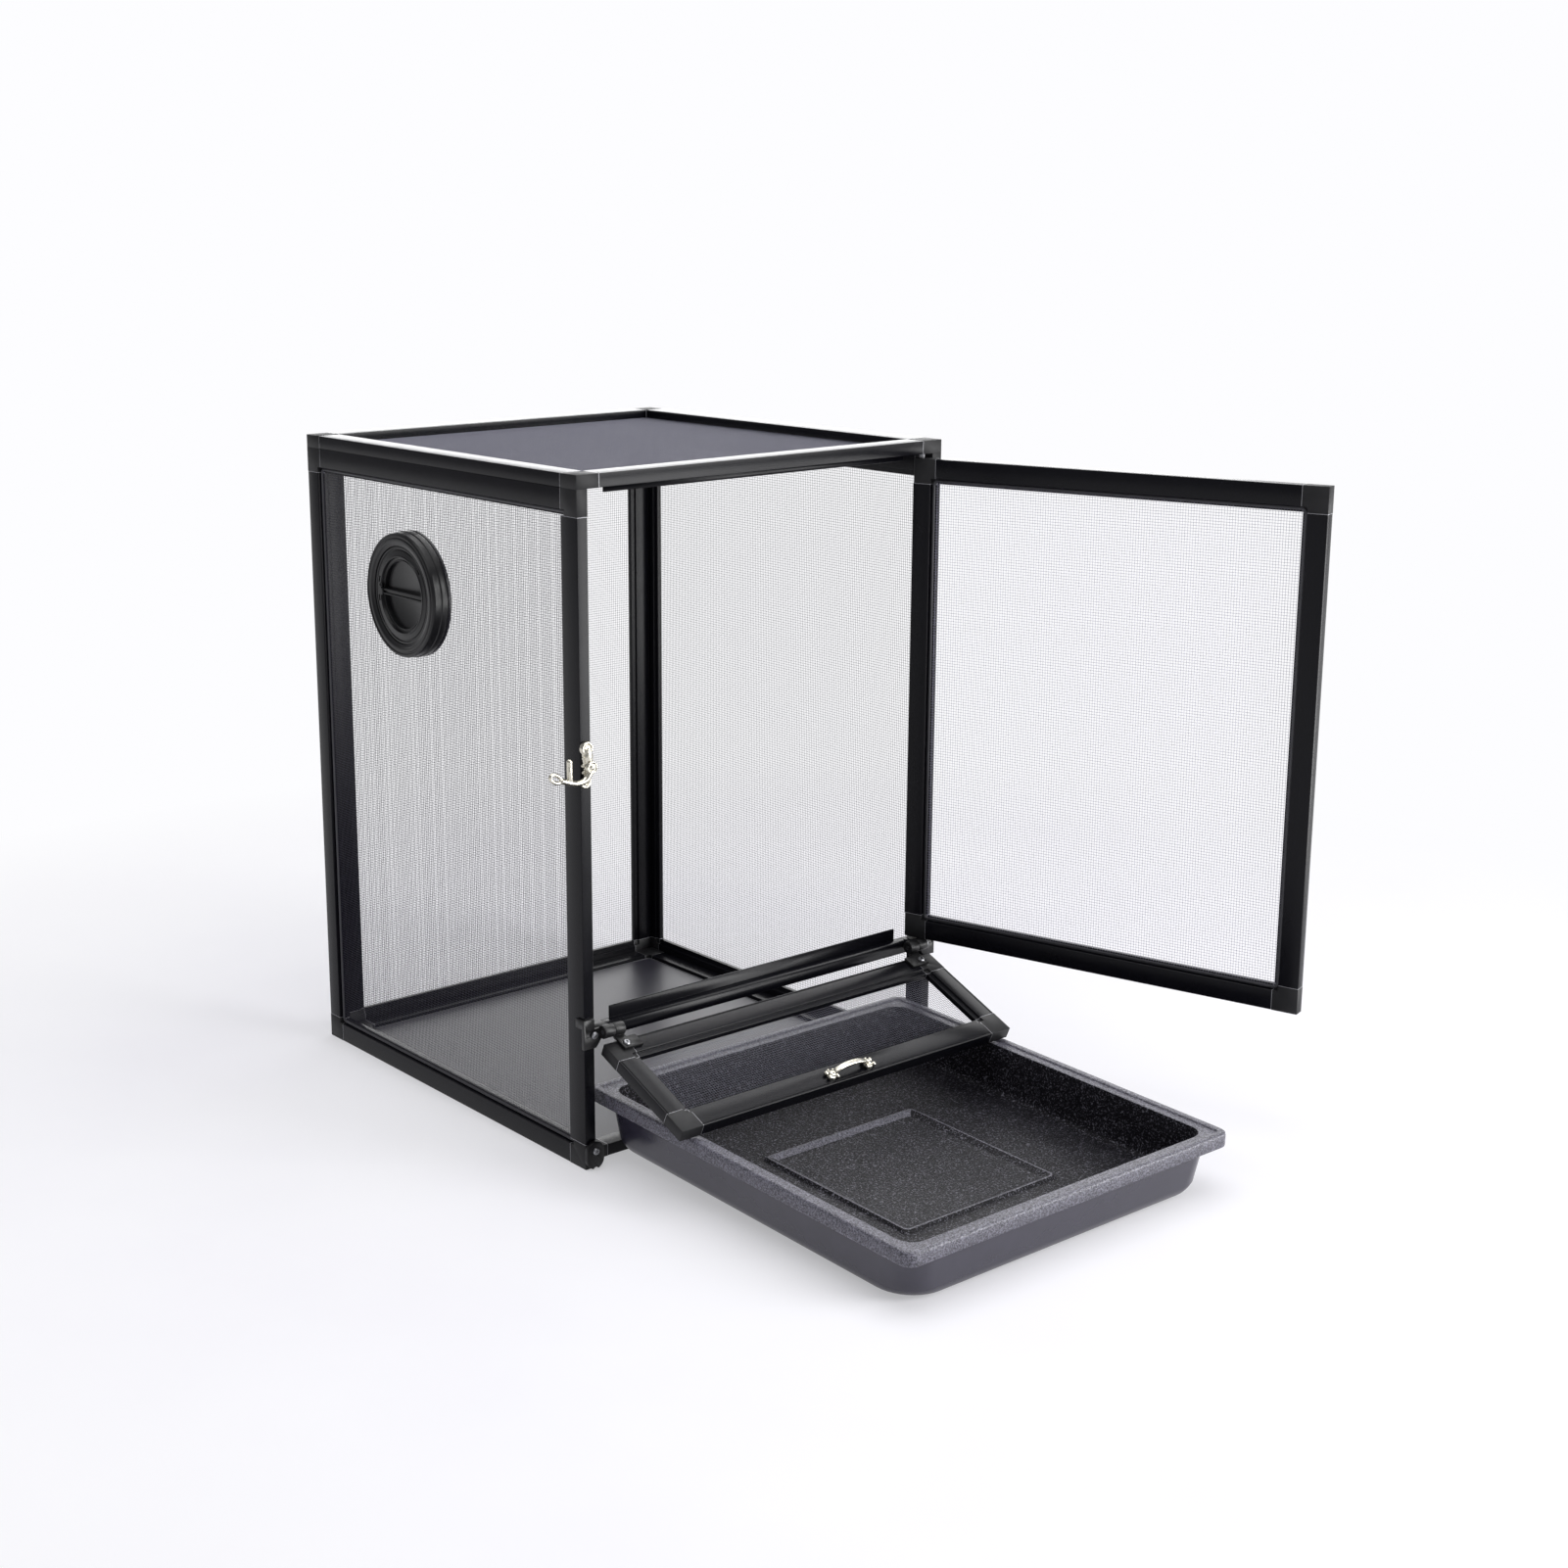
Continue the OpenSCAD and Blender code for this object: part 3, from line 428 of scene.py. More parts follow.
def seamless_paper():
    """Matt studio paper that the camera sees near white, and that keeps the soft shadow."""
    looks = bpy.context.scene.terrarium_studio
    material = bpy.data.materials.new("Seamless paper")
    material.use_nodes = True
    tree = material.node_tree
    tree.nodes.clear()
    at = object_place(tree)
    tone = tint(tree, looks.paper, looks.far_paper, noise(tree, at, 3.0, 4.0))
    matt = add(tree, "ShaderNodeBsdfDiffuse", {"Color": tone})
    glow = add(tree, "ShaderNodeEmission", {"Color": looks.far_paper, "Strength": 1.0})
    rays = add(tree, "ShaderNodeLightPath")
    seen = rays.outputs["Is Camera Ray"]
    for kind in ("Is Glossy Ray", "Is Transmission Ray"):
        seen = calc(tree, "MAXIMUM", seen, rays.outputs[kind])
    # the paper keeps its shadow near the cage, and is evenly white further out
    away = add(tree, "ShaderNodeVectorMath", {0: at}, operation="LENGTH")
    rise = add(tree, "ShaderNodeMapRange", {0: away.outputs["Value"], 1: 0.6, 2: 1.35,
                                            3: 0.4, 4: 1.0})
    share = calc(tree, "MULTIPLY", seen, rise.outputs[0])
    mixed = add(tree, "ShaderNodeMixShader", {0: share, 1: matt.outputs[0], 2: glow.outputs[0]})
    add(tree, "ShaderNodeOutputMaterial", {0: mixed.outputs[0]})
    return material


FINISH = {}


def finishes():
    """The materials, made once and then found by name."""
    if not FINISH:
        scene = bpy.context.scene
        plastic, screen, tray = (scene.terrarium_plastic, scene.terrarium_screen,
                                 scene.terrarium_tray)
        FINISH.update(
            bar=coated_bar(), nickel=bright_nickel(), zinc=zinc_plate(),
            grain=tray_grain("Grained polystyrene", tray.grained, 0.12),
            # the grain painted paler as a highlight, for the rim and for the floor border's crest and
            # back side
            rim=tray_grain("Polystyrene rim with painted sheen", tray.painted_sheen, 0.4),
            connector=moulded("Glass-filled nylon", plastic.connector, 0.55, 0.5, 0.35,
                              Specular_IOR_Level=0.3),
            hinge=moulded("Hinge nylon", plastic.hinge, 0.4, 0.5, 0.4, Specular_IOR_Level=0.35),
            clip=moulded("Black nylon", plastic.clip, 0.35, 0.5, 0.3, Specular_IOR_Level=0.3),
            port=moulded("Satin black ABS", plastic.port, 0.28, 0.4, 0.15, Specular_IOR_Level=0.3),
            bush=moulded("Acetal", plastic.bush, 0.35, 0.5, 0.1),
            spline=moulded("Vinyl spline", plastic.spline, 0.45, 1.2, 0.3),
            sheet=moulded("PVC sheet", plastic.floor_sheet, 0.38, 1.0, 0.25),
            wall=moulded("Smooth polystyrene", tray.smooth, 0.25, 6.0, 0.15,
                         Specular_IOR_Level=0.65),
            cut=sawn_end(),
            # one wire finish in three painted tones, lighter on the screens that more light falls on
            wire=drawn_wire("Dark coated wire", screen.dark),
            door_wire=drawn_wire("Door wire in painted light", screen.light))
        FINISH["roof_wire"] = FINISH["flap_wire"] = drawn_wire("Upper wire in painted light", screen.top)
    return FINISH


# ---- where the panels stand -------------------------------------------------------------
# millimetres; the door and the flap are sized shut, and then turned open about their pivots
DOOR_TURN = math.radians(106)
DOOR_PIVOT = Vector((190.0, -19.5, 0.0))
DOOR_WIDE, DOOR_HIGH, DOOR_FOOT = 392.5, 460.6, 133.4
FLAP_TURN = math.radians(67.23795)
FLAP_PIVOT = Vector((0.0, -31.5, 126.8))
FLAP_WIDE, FLAP_HIGH, FLAP_FOOT = 393.0, 117.5, 1.0
# left edge of both, front face of the uprights, and the access port's centre and hole radius
LEAF_LEFT, FRONT_FACE = -196.5, -25.0
PORT_PLACE, PORT_HOLE = (-209.0, 234.0, 478.0), 41.0


def turned(axis, angle, pivot):
    at = Matrix.Translation(pivot)
    return at @ Matrix.Rotation(angle, 4, axis) @ at.inverted()


def swap(rows, move):
    """Matrix that sends a panel's x, y, z to the given world directions, and moves it."""
    m = Matrix(rows).transposed().to_4x4()
    m.translation = move
    return m


def panels():
    """Each panel: size, thickness and place in millimetres. A panel is drawn with x across,
    z up and its spline face at y = 0."""
    c = bpy.context.scene.terrarium_cage
    w, d, h, t, rt, f = (v / MM for v in (c.width, c.depth, c.height, c.bar, c.roof_bar, c.front))
    x, y, z = AXES
    inner, side = w - 2 * t, h - rt
    door = turned("Z", DOOR_TURN, DOOR_PIVOT)
    flap = turned("X", -FLAP_TURN, FLAP_PIVOT)
    sill = c.sill / MM
    return {
        "left": (d, side, t, swap((y, x, z), (-w / 2, -f, 0))),
        "right": (d, side, t, swap((y, -x, z), (w / 2, -f, 0))),
        "back": (inner, side, t, swap((x, -y, z), (-inner / 2, d - f, 0))),
        "roof": (w, d, rt, swap((x, z, y), (-w / 2, -f, side))),
        "floor": (inner, d - t - sill, t, swap((x, -z, y), (-inner / 2, sill - f, t))),
        "door": (DOOR_WIDE, DOOR_HIGH, t,
                 door @ swap((x, -y, z), (LEAF_LEFT, -f + t, DOOR_FOOT))),
        "flap": (FLAP_WIDE, FLAP_HIGH, t,
                 flap @ swap((x, -y, z), (LEAF_LEFT, -f + t, FLAP_FOOT))),
    }


# ---- frame bars -------------------------------------------------------------------------
# side of a corner connector's square face, and how far the coat is broken at a sawn end
CORNER, SAWN = 23.0, 0.4
# two holes in the roof's rear bar: distances from its left end, that end's place, radius, depth
ROOF_HOLES, ROOF_BAR_END = (14.0, 35.0), (-186.0, 392.0, 607.2)
ROOF_HOLE_R, ROOF_HOLE_DEEP = 1.7, 6.0


def rounded(points, radii, steps=3):
    """Closed outline with its corners rounded."""
    out, n = [], len(points)
    for i, (p, r) in enumerate(zip(points, radii)):
        p = Vector(p)
        if not r:
            out.append(p)
            continue
        a = (Vector(points[i - 1]) - p).normalized()
        b = (Vector(points[(i + 1) % n]) - p).normalized()
        half = a.angle(b) / 2
        reach = r / math.tan(half)
        centre = p + (a + b).normalized() * (r / math.sin(half))
        start, end = p + a * reach - centre, p + b * reach - centre
        turn = start.angle_signed(end)
        for k in range(steps + 1):
            out.append(centre + Matrix.Rotation(-turn * k / steps, 2) @ start)
    return out


def bar_outline(t, plain_face=False, flush_lip=False):
    """Cross-section of a bar: spline face, lip with its groove, outer face with a shadow line.
    The roof's bars are plain on top, right across the lip; the front uprights' lip is flush."""
    c = bpy.context.scene.terrarium_cage
    face, lip, drop, r, line = (v / MM for v in (c.bar_face, c.lip, c.lip_drop, c.edge, c.line))
    block = face + lip
    # the spline's groove in the lip, the lip's underside, and the shadow line's start and depth
    near, far, bottom, under = face + 0.6, face + 3.7, drop + 2.4, drop + 5
    seam, deep = 1.6, t - 0.8
    points = [(0, 0), (face, 0), (face, drop), (near, drop), (near, bottom), (far, bottom),
              (far, drop), (block, drop), (block, under), (face, under), (face, t),
              (seam + line, t), (seam + line, deep), (seam, deep), (seam, t), (0, t)]
    radii = [r, r, 0.3, 0, 0, 0, 0, 0.4, 0.5, 0.3, r, 0.15, 0, 0, 0.15, r]
    if plain_face:
        points[8:] = [(block, t), (0, t)]
        radii[8:] = [r, r]
    if flush_lip:
        points[1:8] = [(block, 0)]
        radii[1:8] = [r]
    return rounded(points, radii)


def extrude(bm, outline, start, along, across, out_of, size):
    """Prism of an outline: drawn in across and out_of, run from start for a length."""
    uv = bm.loops.layers.uv.verify()
    # the coat is broken at both ends, where the bar was sawn off
    stops = (0.0, SAWN, size - SAWN, size)
    rings = [[bm.verts.new(start + along * stop + across * p[0] + out_of * p[1])
              for p in outline] for stop in stops]
    n, run = len(outline), 0.0
    for i in range(n):
        j = (i + 1) % n
        step = (outline[j] - outline[i]).length
        for k in range(3):
            face = bm.faces.new((rings[k][i], rings[k][j], rings[k + 1][j], rings[k + 1][i]))
            face.material_index = 0 if k == 1 else 1
            u0, u1 = stops[k] * MM, stops[k + 1] * MM
            for loop, u, v in zip(face.loops, (u0, u0, u1, u1),
                                  (run, run + step, run + step, run)):
                loop[uv].uv = (u, v * MM)
        run += step
    for ring in (rings[0], rings[-1]):
        face = bm.faces.new(ring)
        face.material_index = 1
        for loop in face.loops:
            loop[uv].uv = (0.0, 0.0)


def carve(obj, bm):
    """Cuts shapes out of an object."""
    cutter = mesh_object("cutter", bm)
    cut = obj.modifiers.new("Cut", "BOOLEAN")
    cut.object, cut.operation, cut.solver = cutter, "DIFFERENCE", "EXACT"
    plain(obj, angle=30)
    bpy.data.objects.remove(cutter)


def frame_bars(panel, holes=None):
    """The four bars of a panel as one piece."""
    w, h, t, at = panels()[panel]
    outline = bar_outline(t, panel == "roof")
    upright = bar_outline(t, flush_lip=True) if panel in ("left", "right") else outline
    bm = bmesh.new()
    x, y, z = AXES
    extrude(bm, upright, z * CORNER, z, x, y, h - 2 * CORNER)
    extrude(bm, outline, x * w + z * CORNER, z, -x, y, h - 2 * CORNER)
    extrude(bm, outline, x * CORNER, x, z, y, w - 2 * CORNER)
    extrude(bm, outline, x * CORNER + z * h, x, -z, y, w - 2 * CORNER)
    bmesh.ops.transform(bm, matrix=at, verts=bm.verts)
    obj = mesh_object(panel + "_bars", bm, finishes()["bar"], finishes()["cut"])
    obj.data.uv_layers[0].name = "Along"
    if holes:
        carve(obj, holes)
    plain(obj, angle=20)
    place(obj, panel + "_stiles", panel + "_rails")


class TERRARIUM_OT_frame_bars(bpy.types.Operator):
    """Build the extruded bars of every panel"""
    bl_idname = "terrarium.frame_bars"
    bl_label = "Frame Bars"

    def execute(self, context):
        for panel in ("left", "right", "back", "floor", "door", "flap"):
            frame_bars(panel)
        holes = bmesh.new()
        left, y, z = ROOF_BAR_END
        for x in ROOF_HOLES:
            bmesh.ops.create_cone(
                holes, cap_ends=True, segments=24, radius1=ROOF_HOLE_R, radius2=ROOF_HOLE_R,
                depth=ROOF_HOLE_DEEP, matrix=Matrix.Translation((left + x, y, z))
                @ Matrix.Rotation(math.pi / 2, 4, "X"))
        frame_bars("roof", holes)
        return {"FINISHED"}


class TERRARIUM_OT_connectors(bpy.types.Operator):
    """Round the moulded corner connectors, the cross bar's plugs and the door's bush"""
    bl_idname = "terrarium.connectors"
    bl_label = "Connectors"

    def execute(self, context):
        looks = finishes()
        for panel in panels():
            softened(panel + "_corners", looks["connector"], 0.9, 3)
        softened("cross_bar_plugs", looks["clip"], 0.5)
        softened("door_bush", looks["bush"], 0.6)
        softened("cross_bar", looks["bar"], 0.5)
        softened("head_stop", looks["bar"], 0.4)
        dress(looks["zinc"], "door_pins", "flap_hinge_pins")
        return {"FINISHED"}


# ---- woven wire screens -----------------------------------------------------------------
def float_inputs(tree, *names):
    """Gives a node tree inputs that are numbers, and returns its group input's sockets."""
    for name in names:
        tree.interface.new_socket(name, in_out="INPUT", socket_type="NodeSocketFloat")
    return tree.nodes.new("NodeGroupInput").outputs


def joined(tree, *parts):
    both = tree.nodes.new("GeometryNodeJoinGeometry")
    for part in parts:
        tree.links.new(part, both.inputs[0])
    return both.outputs[0]


def output(tree, name, geometry):
    tree.interface.new_socket(name, in_out="OUTPUT", socket_type="NodeSocketGeometry")
    out = tree.nodes.new("NodeGroupOutput")
    tree.links.new(geometry, out.inputs[0])


def wire_run_group():
    """Parallel wires along Z, spaced along X, cut where they cross a round hole."""
    group = bpy.data.node_groups.new("Wire Run", "GeometryNodeTree")
    given = float_inputs(group, "Span", "Length", "Pitch", "Wire", "Hole Across", "Hole Along",
                         "Hole Radius")
    span, length, pitch, wire, across, along, radius = tuple(given)[:7]
    count = calc(group, "FLOOR", calc(group, "DIVIDE", span, pitch))
    taken = calc(group, "MULTIPLY", calc(group, "SUBTRACT", count, 1.0), pitch)
    margin = calc(group, "MULTIPLY", 0.5, calc(group, "SUBTRACT", span, taken))
    line = add(group, "GeometryNodeMeshLine", {
        "Count": count, "Start Location": vector(group, margin),
        "Offset": vector(group, pitch)}).outputs[0]
    rod = add(group, "GeometryNodeMeshCylinder", {
        "Vertices": 6, "Side Segments": 1, "Fill Segments": 1,
        "Radius": calc(group, "MULTIPLY", wire, 0.5), "Depth": 1.0})
    rod = add(group, "GeometryNodeTransform", {"Geometry": rod.outputs["Mesh"],
                                               "Translation": (0.0, 0.0, 0.5)}).outputs[0]
    at = add(group, "ShaderNodeSeparateXYZ",
             {0: group.nodes.new("GeometryNodeInputPosition").outputs[0]})
    off = calc(group, "SUBTRACT", at.outputs[0], across)
    inside = add(group, "FunctionNodeCompare", {0: calc(group, "ABSOLUTE", off), 1: radius},
                 data_type="FLOAT", operation="LESS_THAN").outputs[0]
    left_over = calc(group, "SUBTRACT", calc(group, "MULTIPLY", radius, radius),
                     calc(group, "MULTIPLY", off, off))
    chord = calc(group, "SQRT", calc(group, "MAXIMUM", left_over, 0.0))
    below = add(group, "GeometryNodeSwitch", {
        0: inside, 1: length, 2: calc(group, "SUBTRACT", along, chord)},
        input_type="FLOAT").outputs[0]
    above = calc(group, "ADD", along, chord)
    low = add(group, "GeometryNodeInstanceOnPoints", {
        "Points": line, "Instance": rod, "Scale": vector(group, 1.0, 1.0, below)})
    high = add(group, "GeometryNodeInstanceOnPoints", {
        "Points": line, "Selection": inside, "Instance": rod,
        "Scale": vector(group, 1.0, 1.0, calc(group, "SUBTRACT", length, above))})
    lift = add(group, "GeometryNodeTranslateInstances", {
        "Instances": high.outputs[0], "Translation": vector(group, z=above),
        "Local Space": False})
    output(group, "Wires", joined(group, low.outputs[0], lift.outputs[0]))
    return group


def wire_screen_tree():
    """Woven screen: a run of upright wires and a run of level ones, a little less than a wire
    apart."""
    tree = bpy.data.node_groups.new("Wire Screen", "GeometryNodeTree")
    tree.interface.new_socket("Material", in_out="INPUT", socket_type="NodeSocketMaterial")
    given = float_inputs(tree, "Width", "Height", "Pitch", "Wire", "Hole X", "Hole Z",
                         "Hole Radius")
    run = wire_run_group()
    width, height = given["Width"], given["Height"]

    def wires(span, length, across, along):
        return add(tree, "GeometryNodeGroup", {
            "Span": span, "Length": length, "Hole Across": across, "Hole Along": along,
            **{name: given[name] for name in ("Pitch", "Wire", "Hole Radius")}},
            node_tree=run).outputs[0]

    upright = wires(width, height, given["Hole X"], given["Hole Z"])
    level = wires(height, width, given["Hole Z"],
                  calc(tree, "SUBTRACT", width, given["Hole X"]))
    laid = add(tree, "GeometryNodeTransform", {
        "Geometry": level, "Rotation": (0.0, -math.pi / 2, 0.0),
        "Translation": vector(tree, width, calc(tree, "MULTIPLY", given["Wire"], 0.85))})
    both = joined(tree, upright, laid.outputs[0])
    real = add(tree, "GeometryNodeRealizeInstances", {0: both})
    painted = add(tree, "GeometryNodeSetMaterial", {"Geometry": real.outputs[0],
                                                    "Material": given["Material"]})
    output(tree, "Geometry", painted.outputs[0])
    return tree


# how far a screen's edge stands in from its panel's, and its depth behind the spline face
SCREEN_INSET, SCREEN_DEEP = 21.6, 3.63
NO_HOLE = (0.0, 0.0, 0.0)


def wire_screen(panel, tree, material, hole):
    """Screen of one panel, in the solid sheet's place."""
    sizes = bpy.context.scene.terrarium_screen
    w, h, _, at = panels()[panel]
    inset = SCREEN_INSET
    obj = new_object(panel + "_screen", bpy.data.meshes.new(panel + "_screen"))
    weave = obj.modifiers.new("Wire Screen", "NODES")
    weave.node_group = tree
    values = {"Width": (w - 2 * inset) * MM, "Height": (h - 2 * inset) * MM,
              "Pitch": sizes.pitch, "Material": material,
              "Wire": sizes.roof_wire if panel == "roof" else sizes.wire,
              "Hole X": (hole[0] - inset) * MM, "Hole Z": (hole[1] - inset) * MM,
              "Hole Radius": hole[2] * MM}
    for item in tree.interface.items_tree:
        if item.in_out == "INPUT":
            weave[item.identifier] = values[item.name]
    plain(obj, angle=50)
    scale = Matrix.Scale(MM, 4)
    obj.data.transform(scale @ at @ scale.inverted()
                       @ Matrix.Translation((inset * MM, SCREEN_DEEP * MM, inset * MM)))
    if at.determinant() < 0:
        obj.data.flip_normals()
    place(obj, panel + "_mesh")


class TERRARIUM_OT_screens(bpy.types.Operator):
    """Weave the wire screens, set their splines and finish the floor sheet"""
    bl_idname = "terrarium.screens"
    bl_label = "Screens"

    def execute(self, context):
        looks = finishes()
        tree = wire_screen_tree()
        port_hole = PORT_PLACE[1] - FRONT_FACE, PORT_PLACE[2], PORT_HOLE
        for panel in ("left", "right", "back", "roof", "door", "flap"):
            wire_screen(panel, tree, looks.get(panel + "_wire", looks["wire"]),
                        port_hole if panel == "left" else NO_HOLE)
        for panel in panels():
            softened(panel + "_spline", looks["spline"], 1.1, 3)
        dress(looks["sheet"], "floor_sheet")
        return {"FINISHED"}


# ---- litter tray ------------------------------------------------------------------------
def round_ring(half_x, half_y, r, steps=10):
    """Points of a rectangle with round corners, anticlockwise from the +X +Y corner's start."""
    points = []
    for k, (sx, sy) in enumerate(((1, 1), (-1, 1), (-1, -1), (1, -1))):
        cx, cy = sx * (half_x - r), sy * (half_y - r)
        for i in range(steps + 1):
            a = math.pi / 2 * (k + i / steps)
            points.append((cx + r * math.cos(a), cy + r * math.sin(a)))
    return points


def loft(bm, rings):
    """Joins rings of equally many points, and closes the first and the last."""
    made = [[bm.verts.new(p) for p in ring] for ring in rings]
    n = len(made[0])
    faces = []
    for a, b in zip(made, made[1:]):
        faces.append([bm.faces.new((a[i], a[(i + 1) % n], b[(i + 1) % n], b[i]))
                      for i in range(n)])
    faces.append([bm.faces.new(made[0])])
    faces.append([bm.faces.new(made[-1])])
    return faces


# where the tray's front edge stands, its tilt, the middle of its floor's square panel, how far
# its feet stand in from the rim, and a foot's outline as radius and height
TRAY_FRONT, TRAY_TILT = (4.0, -403.0, 0.3), math.radians(1.6094)
PANEL_MIDDLE = (-4.0, -14.0)
FEET = ((53.5, 25.5), (25.5, 53.5))
FOOT = ((4.6, 0.0), (5.6, 0.3), (6.0, 0.7), (6.6, 1.9))


class TERRARIUM_OT_tray(bpy.types.Operator):
    """Form the litter tray with its grained rim and inside"""
    bl_idname = "terrarium.tray"
    bl_label = "Litter Tray"

    def execute(self, context):
        sizes = context.scene.terrarium_tray
        w, d, h, rim_r, wall_r = (v / MM for v in (
            sizes.width, sizes.depth, sizes.height, sizes.radius, sizes.wall_radius))
        # from the underside out, up the wall, round the rim and down the inside:
        # distance in from the rim's edge, and height
        smooth = [(60, 1.2), (24, 1.1), (18.5, 1.2), (16.2, 1.9), (14.3, 3.2), (13.3, 4.5),
                  (12.0, 7.0), (10.9, 10.0), (9.4, 30.0), (8.0, h - 4.2), (6.8, h - 3.0),
                  (2.8, h - 3.0), (2.3, h - 3.8), (2.3, h - 12.0), (1.8, h - 12.5)]
        grained = [(0.6, h - 12.5), (0.1, h - 12.0), (0.0, h - 11.0), (0.0, h - 2.6),
                   (0.5, h - 1.0), (1.6, h - 0.2), (3.0, h), (6.4, h - 0.1), (7.4, h - 0.6),
                   (7.9, h - 1.5), (9.0, h - 1.7), (13.6, h - 1.8), (14.9, h - 2.4),
                   (15.6, h - 4.0), (17.2, h - 26.0), (18.4, 12.4), (19.3, 10.0), (20.9, 8.4),
                   (23.4, 7.6), (26.2, 7.1), (29.0, 6.8)]

        wall_rows, rim_rows, foot_wider, inside_less = 11, 27, 12, 7.5

        def corner(i, z, k):
            """Corner radius: the wall's outside, wider at the foot, then the rim and the inside."""
            if k < wall_rows:
                return wall_r + foot_wider * (1 - z / h)
            return max(rim_r - i, 4.0) if k < rim_rows else wall_r - inside_less

        mid_x, mid_y = PANEL_MIDDLE
        rings = [[(x, y, z) for x, y in round_ring(w / 2 - i, d / 2 - i, corner(i, z, k))]
                 for k, (i, z) in enumerate(smooth + grained)]
        # the floor falls a little towards a square panel with a raised border
        for half, z in ((93.0, 3.0), (91.4, 2.9), (90.6, 3.3), (89.2, 5.3), (88.4, 5.7),
                        (87.0, 5.7), (86.0, 5.3), (81.4, 2.6), (80.4, 2.4), (76.0, 2.4),
                        (40.0, 2.4)):
            rings.append([(x + mid_x, y + mid_y, z)
                          for x, y in round_ring(half, half, 5 if half > 70 else 3)])
        bm = bmesh.new()
        bands = loft(bm, rings)
        first = len(smooth) - 1
        rim_end = first + 13
        crest = len(smooth) + len(grained) + 3
        underside = len(bands) - 2
        for k, band in enumerate(bands):
            for face in band:
                # the rim and the border's crest are rubbed paler, most along its back side
                middle = face.calc_center_median()
                # painted highlight: the rim, the border's crest and the border's back side take the
                # paler rim colour, where light falls on them
                behind = middle.y - mid_y > abs(middle.x - mid_x)
                painted_sheen = k < rim_end or k == crest + 1 or (behind and crest <= k < crest + 4)
                if k != underside:
                    face.material_index = 0 if k < first else 2 if painted_sheen else 1
        for sx, sy in ((-1, -1), (-1, 1), (1, -1), (1, 1)):
            for ax, ay in FEET:
                x, y = sx * (w / 2 - ax), sy * (d / 2 - ay)
                loft(bm, [[(x + q * math.cos(a), y + q * math.sin(a), z) for a in around(20)]
                          for q, z in FOOT])
        at = (Matrix.Translation(TRAY_FRONT) @ Matrix.Rotation(TRAY_TILT, 4, "X")
              @ Matrix.Translation((0.0, d / 2, 0.0)))
        bmesh.ops.transform(bm, matrix=at, verts=bm.verts)
        looks = finishes()
        obj = mesh_object("litter_tray", bm, looks["wall"], looks["grain"], looks["rim"])
        plain(obj, angle=40)
        place(obj, "tray")
        return {"FINISHED"}


# ---- cast nickel ------------------------------------------------------------------------
def tube(bm, path, radii, sides=16, closed=False):
    """Round bar through points, with one radius or a radius at each."""
    path = [Vector(p) for p in path]
    n = len(path)
    rings, normal = [], None
    for i, p in enumerate(path):
        if closed:
            along = path[(i + 1) % n] - path[i - 1]
        else:
            along = path[min(i + 1, n - 1)] - path[max(i - 1, 0)]
        along.normalize()
        if normal is None:
            normal = along.orthogonal().normalized()
        normal = (normal - along * normal.dot(along)).normalized()
        side = along.cross(normal)
        r = radii[i] if isinstance(radii, (list, tuple)) else radii
        rings.append([bm.verts.new(p + (normal * math.cos(a) + side * math.sin(a)) * r)
                      for a in around(sides)])
    for a, b in zip(rings, rings[1:] + (rings[:1] if closed else [])):
        for k in range(sides):
            bm.faces.new((a[k], a[(k + 1) % sides], b[(k + 1) % sides], b[k]))
    if not closed:
        bm.faces.new(rings[0])
        bm.faces.new(rings[-1])


def smooth_path(points, steps=6):
    """Catmull-Rom curve through points."""
    pts = [Vector(p) for p in points]
    pts = [pts[0] * 2 - pts[1]] + pts + [pts[-1] * 2 - pts[-2]]
    out = []
    for a, b, c, d in zip(pts, pts[1:], pts[2:], pts[3:]):
        for k in range(steps):
            t = k / steps
            out.append(0.5 * (2 * b + (c - a) * t + (2 * a - 5 * b + 4 * c - d) * t * t
                              + (3 * b - a - 3 * c + d) * t ** 3))
    return out + [pts[-2]]


def ball(bm, centre, size):
    """Ball or, with three sizes, an egg."""
    size = size if isinstance(size, (list, tuple)) else (size,) * 3
    bmesh.ops.create_icosphere(bm, subdivisions=3, radius=1.0,
                               matrix=Matrix.Translation(centre) @ Matrix.Diagonal((*size, 1)))


def disc(bm, start, end, r0, r1=None):
    """Round plate or cone between two points."""
    tube(bm, [start, end], [r0, r1 or r0], 40)


def cast(node, bm, passes):
    """Flows touching shapes into one nickel casting with soft edges, which stands for a solid."""
    material = finishes()["nickel"]
    obj = mesh_object(node + "_cast", bm, material)
    skin = obj.modifiers.new("Skin", "REMESH")
    skin.mode = "VOXEL"
    skin.voxel_size = bpy.context.scene.terrarium_metal.cast_cell
    skin.use_smooth_shade = True
    ease = obj.modifiers.new("Ease", "SMOOTH")
    ease.factor, ease.iterations = 0.5, passes
    plain(obj, angle=0)
    obj.data.materials.clear()
    obj.data.materials.append(material)
    place(obj, node)


# across and up; the latch stands on the left upright's front face
LATCH_PIVOT = (-201.6, 364.8)


